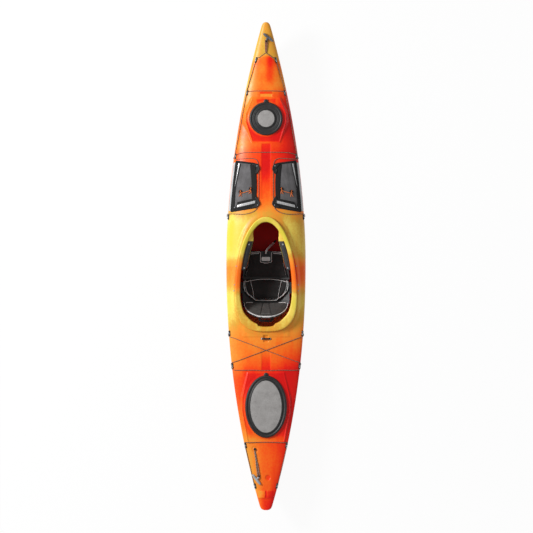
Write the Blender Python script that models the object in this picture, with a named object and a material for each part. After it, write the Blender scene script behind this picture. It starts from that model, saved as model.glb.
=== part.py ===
# Day touring kayak at real size, in metres: +Y is the bow, +X is starboard and +Z is up.
# The origin is on the ground, under the middle of the hull.
import math

import bmesh
import bpy
from mathutils import Matrix, Vector
from mathutils.bvhtree import BVHTree

# Hull
LENGTH = 3.89
BEAM = 0.635
WALL = 0.0045
GAP = 0.0003
BOW_Y = LENGTH / 2
STERN_Y = -LENGTH / 2
WIDEST_Y = 0.018 * BOW_Y
BOW_TIP_RADIUS = 0.027
STERN_TIP_RADIUS = 0.040
BOW_FULLNESS = 1.9
STERN_FULLNESS = 2.12
SHEER_HEIGHT = 0.228
BOW_SHEER_RISE = 0.100
STERN_SHEER_RISE = 0.050
KEEL_FLAT_HALF = 0.060
KEEL_FLAT_SHARE = 0.35
ROCKER = 0.030
BOW_STEM_LENGTH = 0.42
BOW_STEM_RISE = 0.250
STERN_STEM_LENGTH = 0.34
STERN_STEM_RISE = 0.170
STEM_POWER = 2.2
BOTTOM_POWER = 2.8
BOTTOM_END_POWER = 1.7
DECK_POWER = 2.2
BOTTOM_STEPS = 6
DECK_STEPS = 6
STATION_SPACING = 0.125
CAVITY_BOW_INSET = 0.14
CAVITY_STERN_INSET = 0.12

# Height of the deck's centre line along the boat
DECK_LINE = (
    (STERN_Y, 0.292),
    (STERN_Y + 0.22, 0.288),
    (-0.72 * BOW_Y, 0.276),
    (-0.44 * BOW_Y, 0.274),
    (-0.27 * BOW_Y, 0.286),
    (0.0, 0.345),
    (0.23 * BOW_Y, 0.370),
    (0.44 * BOW_Y, 0.348),
    (0.60 * BOW_Y, 0.340),
    (0.80 * BOW_Y, 0.342),
    (BOW_Y, 0.350),
)

# Bulkheads
FRONT_BULKHEAD_Y = 0.463 * BOW_Y
REAR_BULKHEAD_Y = -0.334 * BOW_Y
BULKHEAD_THICKNESS = 0.030

# Cockpit coaming and its opening
COAMING_WIDEST_Y = -0.115 * BOW_Y
COAMING_FRONT = 0.620
COAMING_REAR = 0.297
COAMING_HALF = 0.2475
COAMING_REAR_POWER = 2.8
OPENING_WIDEST_Y = COAMING_WIDEST_Y + 0.036
OPENING_FRONT = COAMING_FRONT - 0.079
OPENING_REAR = COAMING_REAR - 0.005
OPENING_HALF = COAMING_HALF - 0.0415
OPENING_REAR_POWER = 2.4
RIM_FRONT_HEIGHT = 0.400
RIM_REAR_HEIGHT = 0.318
RIM_SLOPE_POWER = 1.4
RIM_THICKNESS = 0.018
COAMING_STEPS = 36
COAMING_SKIRT = WALL + 0.006
LEDGE_FRONT_Y = COAMING_WIDEST_Y + COAMING_FRONT - 0.156
LEDGE_REAR_Y = LEDGE_FRONT_Y - 0.280
LEDGE_WIDTH = 0.046
LEDGE_DROP = 0.022
LEDGE_THICKNESS = 0.006

# Hatches
COVER_SKIRT = 0.012
COLLAR_HEIGHT = 0.012
COLLAR_WALL = 0.007
PAD_RISE = 0.003
PAD_DEPTH = 0.034
BOW_HATCH_Y = 0.605 * BOW_Y
BOW_HATCH_HALF = (0.133, 0.133)
BOW_PANEL_INSET = 0.0655
STERN_HATCH_Y = -0.575 * BOW_Y
STERN_HATCH_HALF = (0.1665, 0.249)
STERN_PANEL_INSET = 0.041
PANEL_THICKNESS = 0.004
PANEL_SEAT_HEIGHT = 0.0175
PANEL_EDGE_SHARE = 0.6
PANEL_ROUND = 0.003
PANEL_CROWN_INSET = 0.030
PANEL_CROWN = 0.001
HATCH_STEPS = 28
CUTTER_REACH = 0.05

# Pad under a hatch: half width, reach ahead and behind, and half width at its corners
BOW_PAD = (0.165, 0.165, 0.190, 0.113)
STERN_PAD = (0.196, 0.272, 0.290, 0.150)
PAD_SHOULDER = 0.35
PAD_REAR_SHOULDER = 0.45
PAD_TOP_SCALE = 0.95

# Rubber cover: the bead at its rim, the lip at its panel, each as distance in and height, and the tab
COVER_EDGE_HEIGHT = 0.011
COVER_FLAT_HEIGHT = 0.0165
BEAD_SHOULDER = (0.004, 0.017)
BEAD_TOP = (0.012, 0.019)
BEAD_INNER = 0.019
LIP_OUTER = 0.010
LIP_SHOULDER = 0.004
LIP_INNER = 0.0005
LIP_HEIGHT = 0.021
TAB_HALF = 0.017
TAB_LAP = 0.008
TAB_REACH = 0.022
TAB_LOW = 0.004
TAB_HIGH = 0.010
TAB_BEVEL = 0.002

# Half width, widest place, reach ahead and behind, and squareness behind
COAMING_EGG = (COAMING_HALF, COAMING_WIDEST_Y, COAMING_FRONT, COAMING_REAR, COAMING_REAR_POWER)
OPENING_EGG = (OPENING_HALF, OPENING_WIDEST_Y, OPENING_FRONT, OPENING_REAR, OPENING_REAR_POWER)

# Deck pockets: outline of the recess as x of its inner and outer sides and y of its ends
POCKET_FRONT_Y = 0.424 * BOW_Y
POCKET_REAR_Y = 0.245 * BOW_Y
POCKET_INNER_X = 0.098
POCKET_WAIST = 0.012
POCKET_EDGE_INSET = 0.034
POCKET_DEPTH = 0.042
POCKET_SKEW = 0.030
MESH_THICKNESS = 0.0025
MESH_CLEARANCE = 0.0011
MESH_LAP = 0.008
BINDING_RADIUS = 0.0045
BINDING_BESIDE_MESH = 0.0012
BINDING_LIFT = 0.0024

# The deck line's offsets from the pocket's inner corners
ROUTE_AT_FRONT_CORNER = ((0.030, 0.036), (-0.008, 0.032), (-0.032, 0.010), (-0.040, -0.040))
ROUTE_AT_REAR_CORNER = ((-0.040, 0.070), (-0.036, 0.010), (-0.008, -0.034), (0.070, -0.060))

# Deck line and its fittings
LINE_RADIUS = 0.0025
LINE_CLEARANCE = 0.0007
EYE_HALF_LENGTH = 0.022
EYE_HALF_WIDTH = 0.009
EYE_HEIGHT = 0.0115
EYE_BORE_HEIGHT = 0.0056
EYE_BORE_PLAY = 0.0004
EYE_TOP_HALF_WIDTH = 0.0062
EYE_END_HEIGHT = 0.0104
EYE_CROWN = 1.2
EYE_SIDES = 8
EYE_PROFILE = ((-1.0, EYE_END_HEIGHT), (-0.55, EYE_HEIGHT), (0.55, EYE_HEIGHT), (1.0, EYE_END_HEIGHT))
LONG_SPAN = 0.10
CORNER_SPAN = 0.06
BUNGEE_SPAN = 0.04
SHORT_SPAN = 0.03
CROSS_SPAN = 0.028
CROSS_START_AHEAD = 0.010
CROSS_SIDE_CLEARANCE = 0.003
CROSS_SHOULDER = (0.72, 0.9)
BOW_CROSS_BULGE = 0.006
FORE_CROSS_BULGE = 0.020
BUNGEE_TURN = (0.030, 0.010)
BUNGEE_BACK_X = 0.10
BUNGEE_BACK_AHEAD = 0.004
BUNGEE_OFF_COVER = 0.037
BUNGEE_CROSS_LIFT = 2 * LINE_RADIUS + 0.004
BUNGEE_CROSS_REACH = 0.06
STERN_TURN = (0.022, 0.004)
STERN_SHOULDER = 0.6

# Seat
SEAT_FRONT_Y = COAMING_WIDEST_Y + 0.348
SEAT_SPLIT_Y = COAMING_WIDEST_Y + 0.130
SEAT_REAR_Y = COAMING_WIDEST_Y - 0.054
PAN_HALF = 0.188
PAN_FLAT_HALF = PAN_HALF - 0.068
PAN_THICKNESS = 0.006
PAN_BOLSTER = 0.028
RUNNER_X = PAN_FLAT_HALF - 0.015
RUNNER_HALF = 0.014
CUSHION_THICKNESS = 0.024
BRACKET_THICKNESS = 0.005
BRACKET_HALF_LENGTH = 0.045
LIFT_PLATE_THICKNESS = 0.005
LIFT_PLATE_HALF = PAN_HALF - 0.036
LEG_CUSHION_HALF = PAN_HALF - 0.012
SEAT_CUSHION_HALF = PAN_HALF - 0.007
SEAT_CUSHION_TAPER = 0.55
SEAT_CUSHION_TAPER_POWER = 3.2
CUSHION_EDGE_RISE = 0.010
CUSHION_WING_RISE = 0.012
LIFT_CLEARANCE = 0.0006
BUCKLE_Y = SEAT_FRONT_Y - 0.026
BUCKLE_SIZE = (0.040, 0.024, 0.009)
BUCKLE_CROWN = 0.002
STRAP_START_BEHIND = 0.013
STRAP_START_LIFT = 0.0045
STRAP_OFF_FLOOR = 0.0040

# The lift strap: x, distance ahead of the seat and drop from its start, then its way down to the floor
STRAP_FLOOR = WALL + STRAP_OFF_FLOOR
STRAP_DROP = (
    (0.004, -STRAP_START_BEHIND, 0.0),
    (0.006, 0.004, 0.001),
    (0.013, 0.022, -0.016),
    (0.026, 0.040, -0.050),
)
STRAP_TAIL = ((0.040, 0.058, 0.030), (0.052, 0.076, STRAP_FLOOR + 0.004), (0.062, 0.094, STRAP_FLOOR))
STRAP_WIDTH_DIRECTION = (1, -0.7, 0)
STRAP_HALF_WIDTH = 0.005
STRAP_THICKNESS = 0.002

# Hip bracket: outboard of the pan's edge, and height
BRACKET_ROUTE = ((0.0, 0.080), (0.0, 0.140), (0.028, 0.190), (0.062, 0.230), (0.078, 0.320))

# Height of the seat pan along its middle: a hollow, so that what lies on it never cuts into it
PAN_LINE = (
    (SEAT_REAR_Y - 0.050, 0.094),
    (SEAT_REAR_Y + 0.010, 0.074),
    (SEAT_REAR_Y + 0.070, 0.064),
    (SEAT_SPLIT_Y, 0.064),
    (SEAT_SPLIT_Y + 0.110, 0.078),
    (SEAT_FRONT_Y, 0.102),
)

# Backrest
BACK_PIVOT_Y = SEAT_REAR_Y - 0.036
BACK_PIVOT_Z = 0.134
BACK_HALF = PAN_HALF - 0.012
BACK_HEIGHT = 0.222
BACK_LEAN = math.radians(26)
BACK_WRAP = 0.016
BACK_FRAME_THICKNESS = 0.005
BACK_CUSHION_THICKNESS = 0.026
EAR_THICKNESS = 0.006
EAR_RADIUS = 0.014
PIN_RADIUS = 0.004
PIN_HEAD_RADIUS = 0.007
HANDLE_HALF = 0.054
HANDLE_HALF_WIDTH = 0.010
HANDLE_THICKNESS = 0.003
HANDLE_CLEARANCE = 0.0003
HANDLE_UP = 0.84
HANDLE_ROUTE = ((1.15, 0.0), (0.95, 0.0), (0.80, 0.010), (0.50, 0.022))
LUG_RADIUS = 0.011
BACK_MARGIN = 0.004
BACK_LOW = 0.012
BACK_ROUND = 2.3
BACK_TOP_SHARE = 0.985

# Thigh braces, as shares of their ledge's length and width
BRACE_END_SHARE = 0.08
BRACE_EDGE_SHARE = 0.16
BRACE_WIDTH_SHARE = 0.94
BRACE_CLEARANCE = 0.0005
BRACE_THICKNESS = 0.004
PAD_EDGE_SHARE = 0.24
PAD_WIDTH_SHARE = 0.80

# Foot braces
RAIL_FRONT_Y = FRONT_BULKHEAD_Y - 0.050
RAIL_LENGTH = 0.440
RAIL_Z = 0.120
RAIL_DEPTH = 0.016
RAIL_HEIGHT = 0.028
RAIL_INSET = 0.013
PEDAL_FRONT_Y = RAIL_FRONT_Y - 0.150
PEDAL_HALF_LENGTH = 0.030
PEDAL_LIP = 0.005
PEDAL_THICKNESS = 0.008
PEDAL_WRAP = 0.007
BLADE_REACH = 0.075
BLADE_ROOT = 0.006
BLADE_REAR = 0.010
BLADE_THICKNESS = 0.008
BLADE_DOWN = 0.038
BLADE_UP = 0.062
BLADE_BEVEL = 0.003
RAIL_CUT_EXTRA = 0.1

# Toggles
TOGGLE_HALF = 0.0803 * BEAM
TOGGLE_AHEAD = 0.0378 * BEAM
TOGGLE_RADIUS = 0.0095
TOGGLE_NECK_RADIUS = 0.72 * TOGGLE_RADIUS
TOGGLE_END_RADIUS = 0.0045
TOGGLE_RADII = (
    (0.0, TOGGLE_RADIUS),
    (0.4, TOGGLE_RADIUS),
    (0.88, TOGGLE_NECK_RADIUS),
    (1.0, TOGGLE_END_RADIUS),
)
TOGGLE_CLEARANCE = 0.0012
BOSS_WAIST = 0.8
BOSS_REACH_BACK = 0.004
BOSS_TO_CORD = 0.0005
BOSS_RADIUS = 0.009
LASHING_RADIUS = 0.0022
LASHING_CLEARANCE = 0.0005
LASHING_SPREAD = LASHING_RADIUS + 0.0022
BOW_V_Y = BOW_Y - 0.247
BOW_BOSS = (0.004, BOW_Y - 0.142)
BOW_TOGGLE_ANGLE = math.radians(-38)
STERN_LINE_Y = STERN_HATCH_Y - STERN_HATCH_HALF[1] - 0.063
STERN_ANCHOR_Y = STERN_LINE_Y - 0.029
STERN_ANCHOR_SHARE = 0.54045
STERN_BOSS_Y = STERN_LINE_Y - 0.254
STERN_BOSS_SHARE = 0.51897
STERN_TOGGLE_ANGLE = math.radians(-51)
ANCHOR_HEIGHT = 0.010
ANCHOR_RADIUS = 0.011
ANCHOR_NECK = 0.007
ANCHOR_PROFILE = (
    (0, ANCHOR_RADIUS),
    (0.35, ANCHOR_RADIUS),
    (0.5, ANCHOR_NECK),
    (0.8, ANCHOR_NECK),
    (1, 0.009),
)

# Pad eyes: how far in from the deck's edge, and where along it
EYE_PLACES = (
    ("bow", 0.029, BOW_Y - 0.303),
    ("fore", 0.019, 0.7116 * BOW_Y),
    ("middle", 0.014, 0.4524 * BOW_Y),
    ("pocket", 0.008, 0.203 * BOW_Y),
    ("cockpit", 0.008, -0.2746 * BOW_Y),
    ("rear_deck", 0.008, -0.4087 * BOW_Y),
    ("aft", 0.007, STERN_LINE_Y),
    ("stern", 0.006, STERN_Y + 0.192),
)

# Lock loop and drain plug
LOCK_LOOP_Y = COAMING_WIDEST_Y - 0.353
LOCK_LOOP_HALF = 0.0405
LOCK_LOOP_HALF_WIDTH = 0.007
LOCK_LOOP_RISE = 0.010
LOCK_LOOP_THICKNESS = 0.004
LOCK_LOOP_FOOT = 0.014
LOCK_LOOP_RAMP = 0.008
DIMPLE_HALF = (0.021, 0.030)
DIMPLE_DEPTH = 0.008
DIMPLE_BEVEL = 0.004
PLUG_Z = 0.235
PLUG_BORE = 0.0055
PLUG_SEAT_RADIUS = 0.013
PLUG_SEAT_DEPTH = 0.008
PLUG_SUNK = 0.0006
PLUG_REACH = 0.030
SLOT_HALF_WIDTH = 0.0015
SLOT_HALF_LENGTH = 0.009
SLOT_OUTSIDE = 0.005
SLOT_BOTTOM = 0.0026


def clear_scene():
    for obj in list(bpy.data.objects):
        bpy.data.objects.remove(obj, do_unlink=True)


def material(name, color, roughness, metallic=0.0):
    made = bpy.data.materials.new(name)
    made.use_nodes = True
    shader = made.node_tree.nodes["Principled BSDF"]
    shader.inputs["Base Color"].default_value = (*color, 1.0)
    shader.inputs["Roughness"].default_value = roughness
    shader.inputs["Metallic"].default_value = metallic
    return made


def new_object(name, mesh, finish):
    obj = bpy.data.objects.new(name, mesh)
    bpy.context.scene.collection.objects.link(obj)
    if finish:
        mesh.materials.append(finish)
    return obj


def hide(obj):
    obj.hide_render = True
    obj.display_type = "WIRE"
    return obj


def from_bmesh(name, shape, finish=None):
    bmesh.ops.recalc_face_normals(shape, faces=shape.faces)
    mesh = bpy.data.meshes.new(name)
    shape.to_mesh(mesh)
    shape.free()
    mesh.shade_smooth()
    mesh.set_sharp_from_angle(angle=math.radians(32))
    return new_object(name, mesh, finish)


# A closed skin over loops of points. A ring joins its last loop to its first; other lofts are capped.
# A split skin has triangles, which lean the same way on both sides of the boat.
def loft(name, loops, finish=None, ring=False, split=False):
    shape = bmesh.new()
    rows = [[shape.verts.new(point) for point in loop] for loop in loops]
    pairs = list(zip(rows, rows[1:]))
    if ring:
        pairs.append((rows[-1], rows[0]))
    for near, far in pairs:
        for index in range(len(near)):
            after = (index + 1) % len(near)
            corners = (near[index], near[after], far[after], far[index])
            if not split:
                shape.faces.new(corners)
            elif 2 * index < len(near):
                shape.faces.new(corners[:3])
                shape.faces.new((corners[0], corners[2], corners[3]))
            else:
                shape.faces.new((corners[0], corners[1], corners[3]))
                shape.faces.new(corners[1:])
    if not ring:
        shape.faces.new(rows[0])
        shape.faces.new(rows[-1])
    return from_bmesh(name, shape, finish)


# Even shares from 0 to 1.
def shares(count):
    return [index / count for index in range(count + 1)]


# A plate or cushion: surface(s, t) gives its top and bottom points at each column s and row t.
def slab(name, surface, column_places, row_places, finish=None):
    columns = len(column_places) - 1
    loops = []
    for t in row_places:
        pairs = [surface(s, t) for s in column_places]
        top = [pair[0] for pair in pairs]
        bottom = [pair[1] for pair in pairs]
        loops.append(top + bottom[::-1])
    shape = bmesh.new()
    rows_made = [[shape.verts.new(point) for point in loop] for loop in loops]
    count = len(loops[0])
    for near, far in zip(rows_made, rows_made[1:]):
        for index in range(count):
            after = (index + 1) % count
            shape.faces.new((near[index], near[after], far[after], far[index]))
    for end in (rows_made[0], rows_made[-1]):
        for index in range(columns):
            shape.faces.new((end[index], end[index + 1], end[count - 2 - index], end[count - 1 - index]))
    return from_bmesh(name, shape, finish)


def box(name, low, high, finish=None, bevel=0.0):
    shape = bmesh.new()
    bmesh.ops.create_cube(shape, size=1.0)
    size = Vector(high) - Vector(low)
    middle = (Vector(high) + Vector(low)) / 2
    bmesh.ops.scale(shape, vec=size, verts=shape.verts)
    bmesh.ops.translate(shape, vec=middle, verts=shape.verts)
    if bevel:
        bmesh.ops.bevel(shape, geom=shape.edges[:], offset=bevel, segments=2, affect="EDGES", profile=0.5)
    return from_bmesh(name, shape, finish)


# A turned piece along a line from start towards end, from (share of the line, radius) pairs.
def turned(name, start, end, profile, sides, finish=None):
    start = Vector(start)
    along = Vector(end) - start
    turn = along.to_track_quat("Z", "Y")
    loops = []
    for share, radius in profile:
        centre = start + along * share
        loops.append(
            [
                centre + turn @ Vector((radius * math.cos(angle), radius * math.sin(angle), 0))
                for angle in (2 * math.pi * side / sides for side in range(sides))
            ]
        )
    return loft(name, loops, finish)


def tube(name, points, radius, finish, resolution=1):
    curve = bpy.data.curves.new(name, "CURVE")
    curve.dimensions = "3D"
    curve.bevel_depth = radius
    curve.bevel_resolution = resolution
    curve.use_fill_caps = True
    spline = curve.splines.new("POLY")
    spline.points.add(len(points) - 1)
    for knot, point in zip(spline.points, points):
        knot.co = (*point, 1.0)
    return new_object(name, curve, finish)


def combine(obj, other, operation):
    modifier = obj.modifiers.new(f"{operation.lower()} {other.name}", "BOOLEAN")
    modifier.operation = operation
    modifier.solver = "EXACT"
    modifier.object = other
    hide(other)


# The piece's origin goes to an empty on its joint, which it then follows.
def hang_on(joint, *pieces):
    shift = Matrix.Translation(-joint.location)
    for piece in pieces:
        piece.data.transform(shift)
        for modifier in piece.modifiers:
            if modifier.type == "BOOLEAN" and modifier.object.parent is None:
                modifier.object.data.transform(shift)
                modifier.object.parent = joint
        piece.parent = joint


def joint_empty(name, place):
    empty = bpy.data.objects.new(name, None)
    bpy.context.scene.collection.objects.link(empty)
    empty.location = place
    return empty


# A smooth line through (place, value) knots.
def fair(knots, at):
    if at <= knots[0][0]:
        return knots[0][1]
    if at >= knots[-1][0]:
        return knots[-1][1]
    index = next(i for i in range(len(knots) - 1) if at <= knots[i + 1][0])
    span = knots[index + 1][0] - knots[index][0]
    share = (at - knots[index][0]) / span
    start_slope = knot_slope(knots, index) * span
    end_slope = knot_slope(knots, index + 1) * span
    square = share * share
    cube = square * share
    return (
        knots[index][1] * (2 * cube - 3 * square + 1)
        + start_slope * (cube - 2 * square + share)
        + knots[index + 1][1] * (3 * square - 2 * cube)
        + end_slope * (cube - square)
    )


def knot_slope(knots, index):
    if index in (0, len(knots) - 1):
        return 0.0
    before = knots[index - 1]
    after = knots[index + 1]
    return (after[1] - before[1]) / (after[0] - before[0])


# A height read off straight runs between knots.
def straight(knots, at):
    for before, after in zip(knots, knots[1:]):
        if at <= after[0]:
            break
    share = (at - before[0]) / (after[0] - before[0])
    return before[1] + (after[1] - before[1]) * share


def end_share(y):
    if y >= WIDEST_Y:
        return min(1.0, (y - WIDEST_Y) / (BOW_Y - WIDEST_Y))
    return min(1.0, (WIDEST_Y - y) / (WIDEST_Y - STERN_Y))


def half_beam(y):
    at_bow = y >= WIDEST_Y
    tip = BOW_TIP_RADIUS if at_bow else STERN_TIP_RADIUS
    power = BOW_FULLNESS if at_bow else STERN_FULLNESS
    half = tip + (BEAM / 2 - tip) * (1 - end_share(y) ** power)
    to_tip = min(BOW_Y - y, y - STERN_Y)
    if to_tip < tip:
        half = min(half, tip * math.sqrt(1 - (0.94 * (1 - to_tip / tip)) ** 2))
    return half


def keel_z(y):
    share = max(0.0, (end_share(y) - KEEL_FLAT_SHARE) / (1 - KEEL_FLAT_SHARE))
    height = ROCKER * share**2
    bow = max(0.0, 1 - (BOW_Y - y) / BOW_STEM_LENGTH)
    stern = max(0.0, 1 - (y - STERN_Y) / STERN_STEM_LENGTH)
    return height + BOW_STEM_RISE * bow**STEM_POWER + STERN_STEM_RISE * stern**STEM_POWER


def sheer_z(y):
    rise = BOW_SHEER_RISE if y >= WIDEST_Y else STERN_SHEER_RISE
    return SHEER_HEIGHT + rise * end_share(y) ** 2


def deck_z(x, y):
    half = half_beam(y)
    across = min(1.0, abs(x) / half) ** DECK_POWER
    return sheer_z(y) + (fair(DECK_LINE, y) - sheer_z(y)) * (1 - across) ** (1 / DECK_POWER)


# A point on the deck and the direction that the deck faces there.
def deck_point(x, y):
    step = 0.0004
    slope_x = (deck_z(x + step, y) - deck_z(x - step, y)) / (2 * step)
    slope_y = (deck_z(x, y + step) - deck_z(x, y - step)) / (2 * step)
    normal = Vector((-slope_x, -slope_y, 1)).normalized()
    return Vector((x, y, deck_z(x, y))), normal


# One cross-section, from the keel up the starboard side, over the deck and down the port side.
def section(y, inset):
    half = half_beam(y) - inset
    low = keel_z(y) + inset
    middle = sheer_z(y)
    high = fair(DECK_LINE, y) - inset
    power = BOTTOM_POWER - (BOTTOM_POWER - BOTTOM_END_POWER) * end_share(y) ** 2
    side = [(min(KEEL_FLAT_HALF, 0.25 * half), low)]
    for step in range(1, BOTTOM_STEPS + 1):
        angle = math.pi / 2 * (1 - step / BOTTOM_STEPS)
        across = half * math.cos(angle) ** (2 / power)
        side.append((across, middle - (middle - low) * math.sin(angle) ** (2 / power)))
    for step in range(1, DECK_STEPS):
        angle = math.pi / 2 * step / DECK_STEPS
        across = half * math.cos(angle) ** (2 / DECK_POWER)
        side.append((across, middle + (high - middle) * math.sin(angle) ** (2 / DECK_POWER)))
    starboard = [Vector((x, y, z)) for x, z in side]
    port = [Vector((-x, y, z)) for x, z in reversed(side)]
    return starboard + [Vector((0, y, high))] + port


# Places along the hull that its sections stand at, so that inner and outer faces run side by side.
def stations():
    fixed = [STERN_Y, BOW_Y, STERN_Y + CAVITY_STERN_INSET, BOW_Y - CAVITY_BOW_INSET]
    for share in (0.15, 0.4, 0.75):
        fixed.append(STERN_Y + share * STERN_TIP_RADIUS)
        fixed.append(BOW_Y - share * BOW_TIP_RADIUS)
    for y in (FRONT_BULKHEAD_Y, REAR_BULKHEAD_Y):
        fixed.extend((y, y + BULKHEAD_THICKNESS))
    count = round(LENGTH / STATION_SPACING)
    for index in range(1, count):
        y = STERN_Y + index * LENGTH / count
        if min(abs(y - other) for other in fixed) > 0.3 * STATION_SPACING:
            fixed.append(y)
    return sorted(fixed)


def hull_loft(name, inset, first, last, finish=None):
    places = [y for y in stations() if first - 1e-6 <= y <= last + 1e-6]
    return loft(name, [section(y, inset) for y in places], finish, split=True)


def inside_space(name):
    first = STERN_Y + CAVITY_STERN_INSET
    last = BOW_Y - CAVITY_BOW_INSET
    return hull_loft(name, WALL + GAP, first, last)


# An egg outline: a half ellipse ahead of its widest place and a squarer curve behind it.
def egg_point(angle, half, widest, front, rear, rear_power):
    across = math.cos(angle)
    along = math.sin(angle)
    if along >= 0:
        return half * across, widest + front * along
    power = 2 / rear_power
    return half * math.copysign(abs(across) ** power, across), widest - rear * abs(along) ** power


# A point on the coaming, from its opening at 0 to its outer lip at 1.
def rim_place(angle, share):
    inner = egg_point(angle, *OPENING_EGG)
    outer = egg_point(angle, *COAMING_EGG)
    return tuple(a + (b - a) * share for a, b in zip(inner, outer))


def rim_z(y):
    rear = COAMING_WIDEST_Y - COAMING_REAR
    share = max(0.0, (y - rear) / (COAMING_REAR + COAMING_FRONT))
    return RIM_REAR_HEIGHT + (RIM_FRONT_HEIGHT - RIM_REAR_HEIGHT) * share**RIM_SLOPE_POWER


def opening_x(y):
    share = (y - OPENING_WIDEST_Y) / OPENING_FRONT
    return OPENING_HALF * math.sqrt(max(0.0, 1 - share * share))


def coaming():
    profile = (
        (0.00, "deck", -COAMING_SKIRT),
        (0.00, "rim", -0.008),
        (0.18, "rim", 0.0),
        (0.75, "rim", -0.001),
        (1.00, "rim", -0.009),
        (0.94, "rim", -RIM_THICKNESS),
        (0.42, "rim", -RIM_THICKNESS + 0.002),
        (0.34, "deck", -COAMING_SKIRT),
    )
    loops = []
    for share, base, height in profile:
        loop = []
        for step in range(COAMING_STEPS):
            x, y = rim_place(2 * math.pi * step / COAMING_STEPS, share)
            level = rim_z(y) if base == "rim" else deck_z(x, y)
            loop.append((x, y, level + height))
        loops.append(loop)
    return loft("coaming_ring", loops, ring=True)


def coaming_cutter():
    loops = []
    for level in (SHEER_HEIGHT - 0.02, RIM_FRONT_HEIGHT + 0.05):
        angles = [2 * math.pi * step / COAMING_STEPS for step in range(COAMING_STEPS)]
        loops.append([(*rim_place(angle, 0.12), level) for angle in angles])
    return loft("coaming_opening", loops)


# The moulded shelf inside the coaming that carries a thigh brace: s from the coaming inwards.
def ledge_surface(side, s, t, rise):
    y = LEDGE_REAR_Y + (LEDGE_FRONT_Y - LEDGE_REAR_Y) * t
    width = LEDGE_WIDTH * (1 - 0.4 * (2 * t - 1) ** 4)
    x = opening_x(y) + 0.004 - (width + 0.004) * s
    return Vector((side * x, y, rim_z(y) - LEDGE_DROP - 0.012 * s * s + rise))


def thigh_ledge(name, side):
    def surface(s, t):
        return ledge_surface(side, s, t, 0.0), ledge_surface(side, s, t, -LEDGE_THICKNESS)

    return slab(name, surface, shares(3), shares(8))


def hatch_level(y):
    return fair(DECK_LINE, y) + PAD_RISE


def oval(half_x, half_y, y, z, inset=0.0):
    points = []
    for step in range(HATCH_STEPS):
        angle = 2 * math.pi * step / HATCH_STEPS
        points.append(((half_x - inset) * math.cos(angle), y + (half_y - inset) * math.sin(angle), z))
    return points


# The flat moulded pad under a hatch, with its corners cut.
def hatch_pad(name, y, half, front, rear, corner):
    length = front + rear
    outline = (
        (corner, front),
        (half, front - PAD_SHOULDER * length),
        (half, PAD_REAR_SHOULDER * length - rear),
        (corner, -rear),
    )
    level = hatch_level(y)
    loops = []
    for scale, z in ((1.0, level - PAD_DEPTH), (PAD_TOP_SCALE, level)):
        right = [(scale * x, y + scale * along, z) for x, along in outline]
        left = [(-x, along, z) for x, along, z in reversed(right)]
        loops.append(right + left)
    return loft(name, loops)


def hatch_collar(name, y, half):
    level = hatch_level(y)
    outer = COVER_SKIRT + GAP
    inner = outer + COLLAR_WALL
    profile = (
        (outer, level - PAD_DEPTH),
        (outer, level + COLLAR_HEIGHT),
        (inner, level + COLLAR_HEIGHT),
        (inner, level - PAD_DEPTH),
    )
    loops = [oval(*half, y, z, inset) for inset, z in profile]
    return loft(name, loops, ring=True)


def hatch_opening(name, y, half):
    inset = COVER_SKIRT + GAP + 0.5 * COLLAR_WALL
    level = hatch_level(y)
    loops = [oval(*half, y, z, inset) for z in (level - 2 * PAD_DEPTH, level + CUTTER_REACH)]
    return loft(name, loops)


def hatch_cover(name, y, half, panel_inset, finish):
    level = hatch_level(y)
    under = level + COLLAR_HEIGHT + GAP
    profile = (
        (COVER_SKIRT, under),
        (COVER_SKIRT, level + GAP),
        (0.0, level + GAP),
        (0.0, level + COVER_EDGE_HEIGHT),
        (BEAD_SHOULDER[0], level + BEAD_SHOULDER[1]),
        (BEAD_TOP[0], level + BEAD_TOP[1]),
        (BEAD_INNER, level + COVER_FLAT_HEIGHT),
        (panel_inset - LIP_OUTER, level + COVER_FLAT_HEIGHT),
        (panel_inset - LIP_SHOULDER, level + LIP_HEIGHT),
        (panel_inset - LIP_INNER, level + LIP_HEIGHT),
        (panel_inset, level + PANEL_SEAT_HEIGHT),
    )
    cover = loft(name, [oval(*half, y, z, inset) for inset, z in profile], finish)
    tab_y = y + half[1]
    low = (-TAB_HALF, tab_y - TAB_LAP, level + TAB_LOW)
    high = (TAB_HALF, tab_y + TAB_REACH, level + TAB_HIGH)
    combine(cover, box(f"{name}_tab_shape", low, high, bevel=TAB_BEVEL), "UNION")
    return cover


def hatch_panel(name, y, half, panel_inset, finish):
    seat = hatch_level(y) + PANEL_SEAT_HEIGHT + GAP
    profile = (
        (panel_inset + GAP, seat),
        (panel_inset + GAP, seat + PANEL_EDGE_SHARE * PANEL_THICKNESS),
        (panel_inset + PANEL_ROUND, seat + PANEL_THICKNESS),
        (panel_inset + PANEL_CROWN_INSET, seat + PANEL_THICKNESS + PANEL_CROWN),
    )
    return loft(name, [oval(*half, y, z, inset) for inset, z in profile], finish)


# Plan of a deck pocket: s from the inner side to the outer one, t from its rear to its front.
def pocket_plan(s, t, grow):
    length = POCKET_FRONT_Y - POCKET_REAR_Y
    y = POCKET_REAR_Y - grow + (length + 2 * grow) * t - POCKET_SKEW * s * (1 - t)
    inner = POCKET_INNER_X - POCKET_WAIST * math.sin(math.pi * t) - grow
    outer = half_beam(y) - POCKET_EDGE_INSET + grow
    return inner + (outer - inner) * s, y


def pocket_block(name, side, grow, depth, rise):
    def surface(s, t):
        x, y = pocket_plan(s, t, grow)
        level = deck_z(min(x, half_beam(y) - POCKET_EDGE_INSET), y)
        return Vector((side * x, y, level + rise)), Vector((side * x, y, level - depth))

    return slab(name, surface, shares(5), shares(5))


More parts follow.
